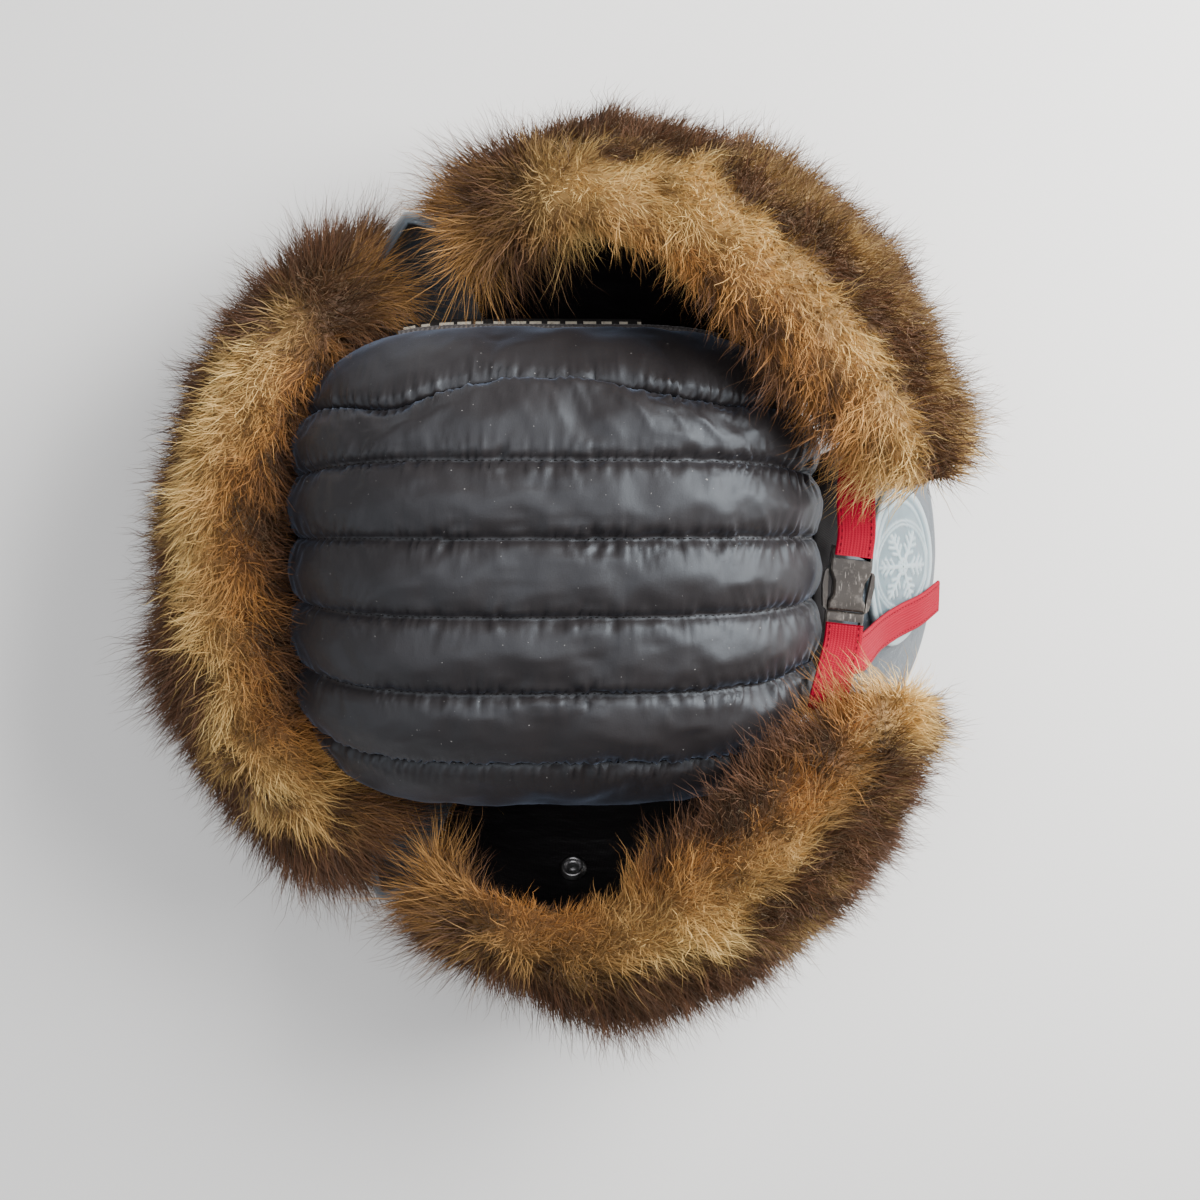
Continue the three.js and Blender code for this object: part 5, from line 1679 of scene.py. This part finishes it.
def press_stud(sides=40):
    at, face = seat_on(EAR_FLAP_LEFT, *SNAP_PLACE, -(CLOTH / 2 + GAP + SNAP_BOW))
    turned = np.array(Vector((0, 0, 1)).rotation_difference(Vector(face)).to_matrix())
    profile = np.array(SNAP_PROFILE)
    turns = 2 * np.pi * np.arange(sides) / sides
    points = np.stack([profile[:, None, 0] * np.cos(turns), profile[:, None, 0] * np.sin(turns),
                       profile[:, None, 1] * np.ones(sides)], axis=-1) * SNAP_RADIUS
    points = points.reshape(-1, 3) @ turned.T + at
    rows = len(profile)
    faces = grid_faces(rows, sides, wrap=True).tolist()
    faces += [list(range(sides))[::-1], list(range((rows - 1) * sides, rows * sides))]
    return new_piece("press_stud", points, outward(points, faces), stud_metal())


def stud_metal():
    made = Finish("dark stud metal", Metallic=1.0)
    worn = made.noise(made.place(), 300, 3)
    made.give("Base Color", made.mix(worn, (0.13, 0.12, 0.12, 1), (0.5, 0.5, 0.51, 1)))
    made.give("Roughness", 0.22 + worn * 0.25)
    return made.material


settle(press_stud(), "snap_metal", "snap_button")

# %% Routes of the straps
WEB_WIDTH = 15
WEB_THICK = 1.6
STRAP_BOW = 1.1  # room for the curve of the cloth under a strap's end
BUCKLE_THICK = 7
BUCKLE_AT = np.array([CROWN_X + 116, CROWN_Y - 7, 105])
BUCKLE_TURN = math.radians(-6.5)
UP = np.array([0, 0, 1.0])
INWARD = np.array([-1.0, 0, 0])


def on_buckle(x, y, z):
    """A place in the buckle's own frame, where the webbing runs along Y."""
    cos, sin = math.cos(BUCKLE_TURN), math.sin(BUCKLE_TURN)
    return BUCKLE_AT + np.array([x * cos - y * sin, x * sin + y * cos, z]), UP


def towards(place, way, share):
    """A place whose face turns towards another way by a share."""
    return place[0], unit(place[1] * (1 - share) + way * share)


def turned_up(place, share):
    return towards(place, UP, share)


def leaning(place, share):
    return towards(place, INWARD, share)


STRAP_OFF = -(CLOTH / 2 + GAP + WEB_THICK / 2 + STRAP_BOW)
OVER = BUCKLE_THICK / 2 + GAP + WEB_THICK / 2
TAIL_OFF = CLOTH / 2 + PATCH_LIFT + PATCH_BORDER + GAP + WEB_THICK / 2 + 0.6
ROUTES = {
    "strap_upper": [
        on_buckle(0, 13, OVER), on_buckle(0, 22, OVER), leaning(on_buckle(-2, 34, OVER + 1), 0.12),
        leaning(on_buckle(-3, 46, OVER + 1), 0.32),
        turned_up(seat_on(EAR_FLAP_RIGHT, 26, 0.73, STRAP_OFF - 9), 0.4),
        turned_up(seat_on(EAR_FLAP_RIGHT, 29, 0.73, STRAP_OFF - 2), 0.08),
        seat_on(EAR_FLAP_RIGHT, 33, 0.73, STRAP_OFF), seat_on(EAR_FLAP_RIGHT, 37, 0.73, STRAP_OFF)],
    "strap_lower": [
        on_buckle(0, -14, OVER - 1), on_buckle(0, -22, OVER - 1), on_buckle(-2, -34, OVER + 2),
        on_buckle(-4, -46, OVER + 5), turned_up(seat_on(EAR_FLAP_LEFT, -32, 0.73, STRAP_OFF - 11), 0.5),
        turned_up(seat_on(EAR_FLAP_LEFT, -37, 0.73, STRAP_OFF - 4), 0.2),
        seat_on(EAR_FLAP_LEFT, -42, 0.73, STRAP_OFF), seat_on(EAR_FLAP_LEFT, -47, 0.73, STRAP_OFF)],
    "strap_tail": [
        on_buckle(4, -27, -3), on_buckle(9, -27, -8), seat_on(NECK_FLAP, -12, 0.42, TAIL_OFF + 4),
        seat_on(NECK_FLAP, -10, 0.6, TAIL_OFF), seat_on(NECK_FLAP, -8, 0.78, TAIL_OFF),
        seat_on(NECK_FLAP, -6, 0.93, TAIL_OFF)],
}


def catmull(points, steps):
    """Centripetal Catmull-Rom through the points: places and unit tangents."""
    points = np.asarray(points)
    whole = np.concatenate([[2 * points[0] - points[1]], points, [2 * points[-1] - points[-2]]])
    count = len(points) - 1

    def at(t):
        k = min(int(t * count), count - 1)
        w = t * count - k
        p = whole[k:k + 4]
        d = np.sqrt(np.linalg.norm(np.diff(p, axis=0), axis=1))
        start = ((p[1] - p[0]) / d[0] - (p[2] - p[0]) / (d[0] + d[1]) + (p[2] - p[1]) / d[1]) * d[1]
        end = ((p[2] - p[1]) / d[1] - (p[3] - p[1]) / (d[1] + d[2]) + (p[3] - p[2]) / d[2]) * d[1]
        return p[1] + start * w + (3 * (p[2] - p[1]) - 2 * start - end) * w ** 2 + (
            2 * (p[1] - p[2]) + start + end) * w ** 3

    shares = np.linspace(0, 1, steps + 1)
    places = np.array([at(t) for t in shares])
    near = 1e-4
    tangents = np.array([at(min(t + near, 1)) - at(max(t - near, 0)) for t in shares])
    return shares, places, unit(tangents)


# %% Webbing
WEB_EDGE = 0.34  # share of the thickness that rounds each edge
RIB_PITCH = 1.9
RIB_HEIGHT = 0.04
STITCH_INSET = 1.7


def web_frames(route, steps=84):
    """Middle, side and face directions along a strap."""
    shares, middle, along = catmull([at for at, _ in route], steps)
    faces = np.array([face for _, face in route])
    at = shares * (len(route) - 1)
    low = np.minimum(at.astype(int), len(route) - 2)
    face = faces[low] + (faces[low + 1] - faces[low]) * (at - low)[:, None]
    side = unit(np.cross(along, face))
    return middle, side, unit(np.cross(side, along))


def web_outline(across=26):
    """Half-width and half-thickness places round a section, with ribs on both faces."""
    w = np.linspace(-1, 1, across + 1)
    rib = RIB_HEIGHT * np.cos(2 * np.pi * w * WEB_WIDTH / 2 / RIB_PITCH)
    edge = np.clip((1 - np.abs(w)) * WEB_WIDTH / 2 / (WEB_THICK * WEB_EDGE), 0, 1)
    half = (WEB_THICK / 2 - RIB_HEIGHT + rib) * np.sqrt(1 - (1 - edge) ** 2 * 0.75)
    top = np.stack([w * WEB_WIDTH / 2, half], axis=1)
    return np.concatenate([top * (1, -1), top[::-1]])


def crimson_webbing():
    made = Finish("crimson webbing", Roughness=0.7, Specular_IOR_Level=0.15)
    along, across = made.cloth_map("X"), made.cloth_map("Y")
    ribs = (across * (2 * math.pi / 1.25)).sine() * 0.5 + 0.5
    picks = (along * (2 * math.pi / 0.9) + ribs * 2.2).sine() * 0.5 + 0.5
    weave = ribs * 0.6 + picks * 0.4
    worn = made.noise(made.place(), 140, 4)
    deep = made.mix(worn, (0.19, 0.0, 0.01, 1), (0.29, 0.0, 0.017, 1))
    made.give("Base Color", made.mix(weave * 0.5, deep, (0.47, 0.0, 0.028, 1)))
    made.give("Normal", made.bump(weave, 0.00022, 0.7))
    return made.material


webbing = crimson_webbing()
dark_thread = thread("dark red thread", (0.05, 0.001, 0.004), (0.16, 0.004, 0.012))
strap_stitches = []
for name, route in ROUTES.items():
    middle, side, face = web_frames(route)
    outline = web_outline()
    sections = middle[:, None] + side[:, None] * outline[None, :, :1]
    sections = sections + face[:, None] * outline[None, :, 1:]
    strap = swept(name.replace("strap", "webbing"), sections, webbing)
    settle(strap, "webbing", name)
    for edge in (-1, 1):
        reach = edge * (WEB_WIDTH / 2 - STITCH_INSET)
        strap_stitches.append((middle + side * reach + face * (WEB_THICK / 2 - 0.02))[2:-2])
sewn("strap_stitches", strap_stitches, 2.6, 1.7, 0.5, dark_thread, "webbing")

# %% Buckle
BUCKLE_EDGE = 0.35
SHARP_ANGLE = math.radians(25)


def scuffed_plastic():
    made = Finish("scuffed black plastic", IOR=1.5)
    where = made.place()
    streaks = made.noise(made.stretched(where, (1.0, 0.16, 1.0)), 1500, 2)
    scratch = made.ramp(streaks, [(0.0, 0.0), (0.63, 0.0), (0.7, 1.0)])
    scuff = made.ramp(made.noise(where, 260, 5, 0.65), [(0.0, 0.0), (0.5, 0.0), (0.72, 1.0)])
    grain = made.noise(where, 2600, 2)
    base = made.mix(made.noise(where, 80, 3), (0.018, 0.014, 0.012, 1), (0.05, 0.042, 0.036, 1))
    pale = (scuff * 0.3 + scratch * 0.5).capped()
    made.give("Base Color", made.mix(pale, base, (0.34, 0.31, 0.28, 1)))
    made.give("Roughness", 0.36 + scuff * 0.22 + grain * 0.08)
    made.give("Normal", made.bump(grain + scratch * 1.5, 0.00006, 0.5))
    return made.material


def rounded_copy(node, name, material):
    """The CAD part's shape with its sharp edges rounded."""
    mesh = frame["nodes"][node].data.copy()
    shape = bmesh.new()
    shape.from_mesh(mesh)
    bmesh.ops.remove_doubles(shape, verts=shape.verts, dist=1e-6)
    bmesh.ops.dissolve_limit(shape, angle_limit=math.radians(1), verts=shape.verts, edges=shape.edges)
    shared = [edge for edge in shape.edges if len(edge.link_faces) == 2]
    sharp = [edge for edge in shared if edge.calc_face_angle() > SHARP_ANGLE]
    bmesh.ops.bevel(shape, geom=sharp, offset=BUCKLE_EDGE * MM, segments=3, profile=0.5, affect="EDGES",
                    clamp_overlap=True)
    bmesh.ops.triangulate(shape, faces=shape.faces)
    shape.to_mesh(mesh)
    shape.free()
    mesh.materials.clear()
    mesh.materials.append(material)
    mesh.shade_smooth()
    mesh.set_sharp_from_angle(angle=math.radians(35))
    piece = bpy.data.objects.new(name, mesh)
    bpy.context.scene.collection.objects.link(piece)
    return piece


plastic = scuffed_plastic()
for node, name in (("buckle_socket", "moulded_socket"), ("buckle_plug", "moulded_plug")):
    settle(rounded_copy(node, name, plastic), "buckle_plastic", node)

# %% [markdown]
# ## Closing
#
# The floor is not part of the object.

# %% Floor and the count of triangles
def add_floor():
    corners = [(-FLOOR_HALF, -FLOOR_HALF, 0), (FLOOR_HALF, -FLOOR_HALF, 0), (FLOOR_HALF, FLOOR_HALF, 0),
               (-FLOOR_HALF, FLOOR_HALF, 0)]
    made = Finish("pale floor", Roughness=0.85)
    tone = made.noise(made.place(), 3.0, 2)
    made.give("Base Color", made.mix(tone, (0.86, 0.86, 0.86, 1), (0.9, 0.9, 0.89, 1)))
    floor = new_piece("floor", np.array(corners) / MM, [[0, 1, 2, 3]], made.material)
    floor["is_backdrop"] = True


add_floor()
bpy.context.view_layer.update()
meshes = [piece.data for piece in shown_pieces() if piece.type == "MESH"]
total = sum(len(p.vertices) - 2 for mesh in meshes for p in mesh.polygons)
print("triangles in all:", total)
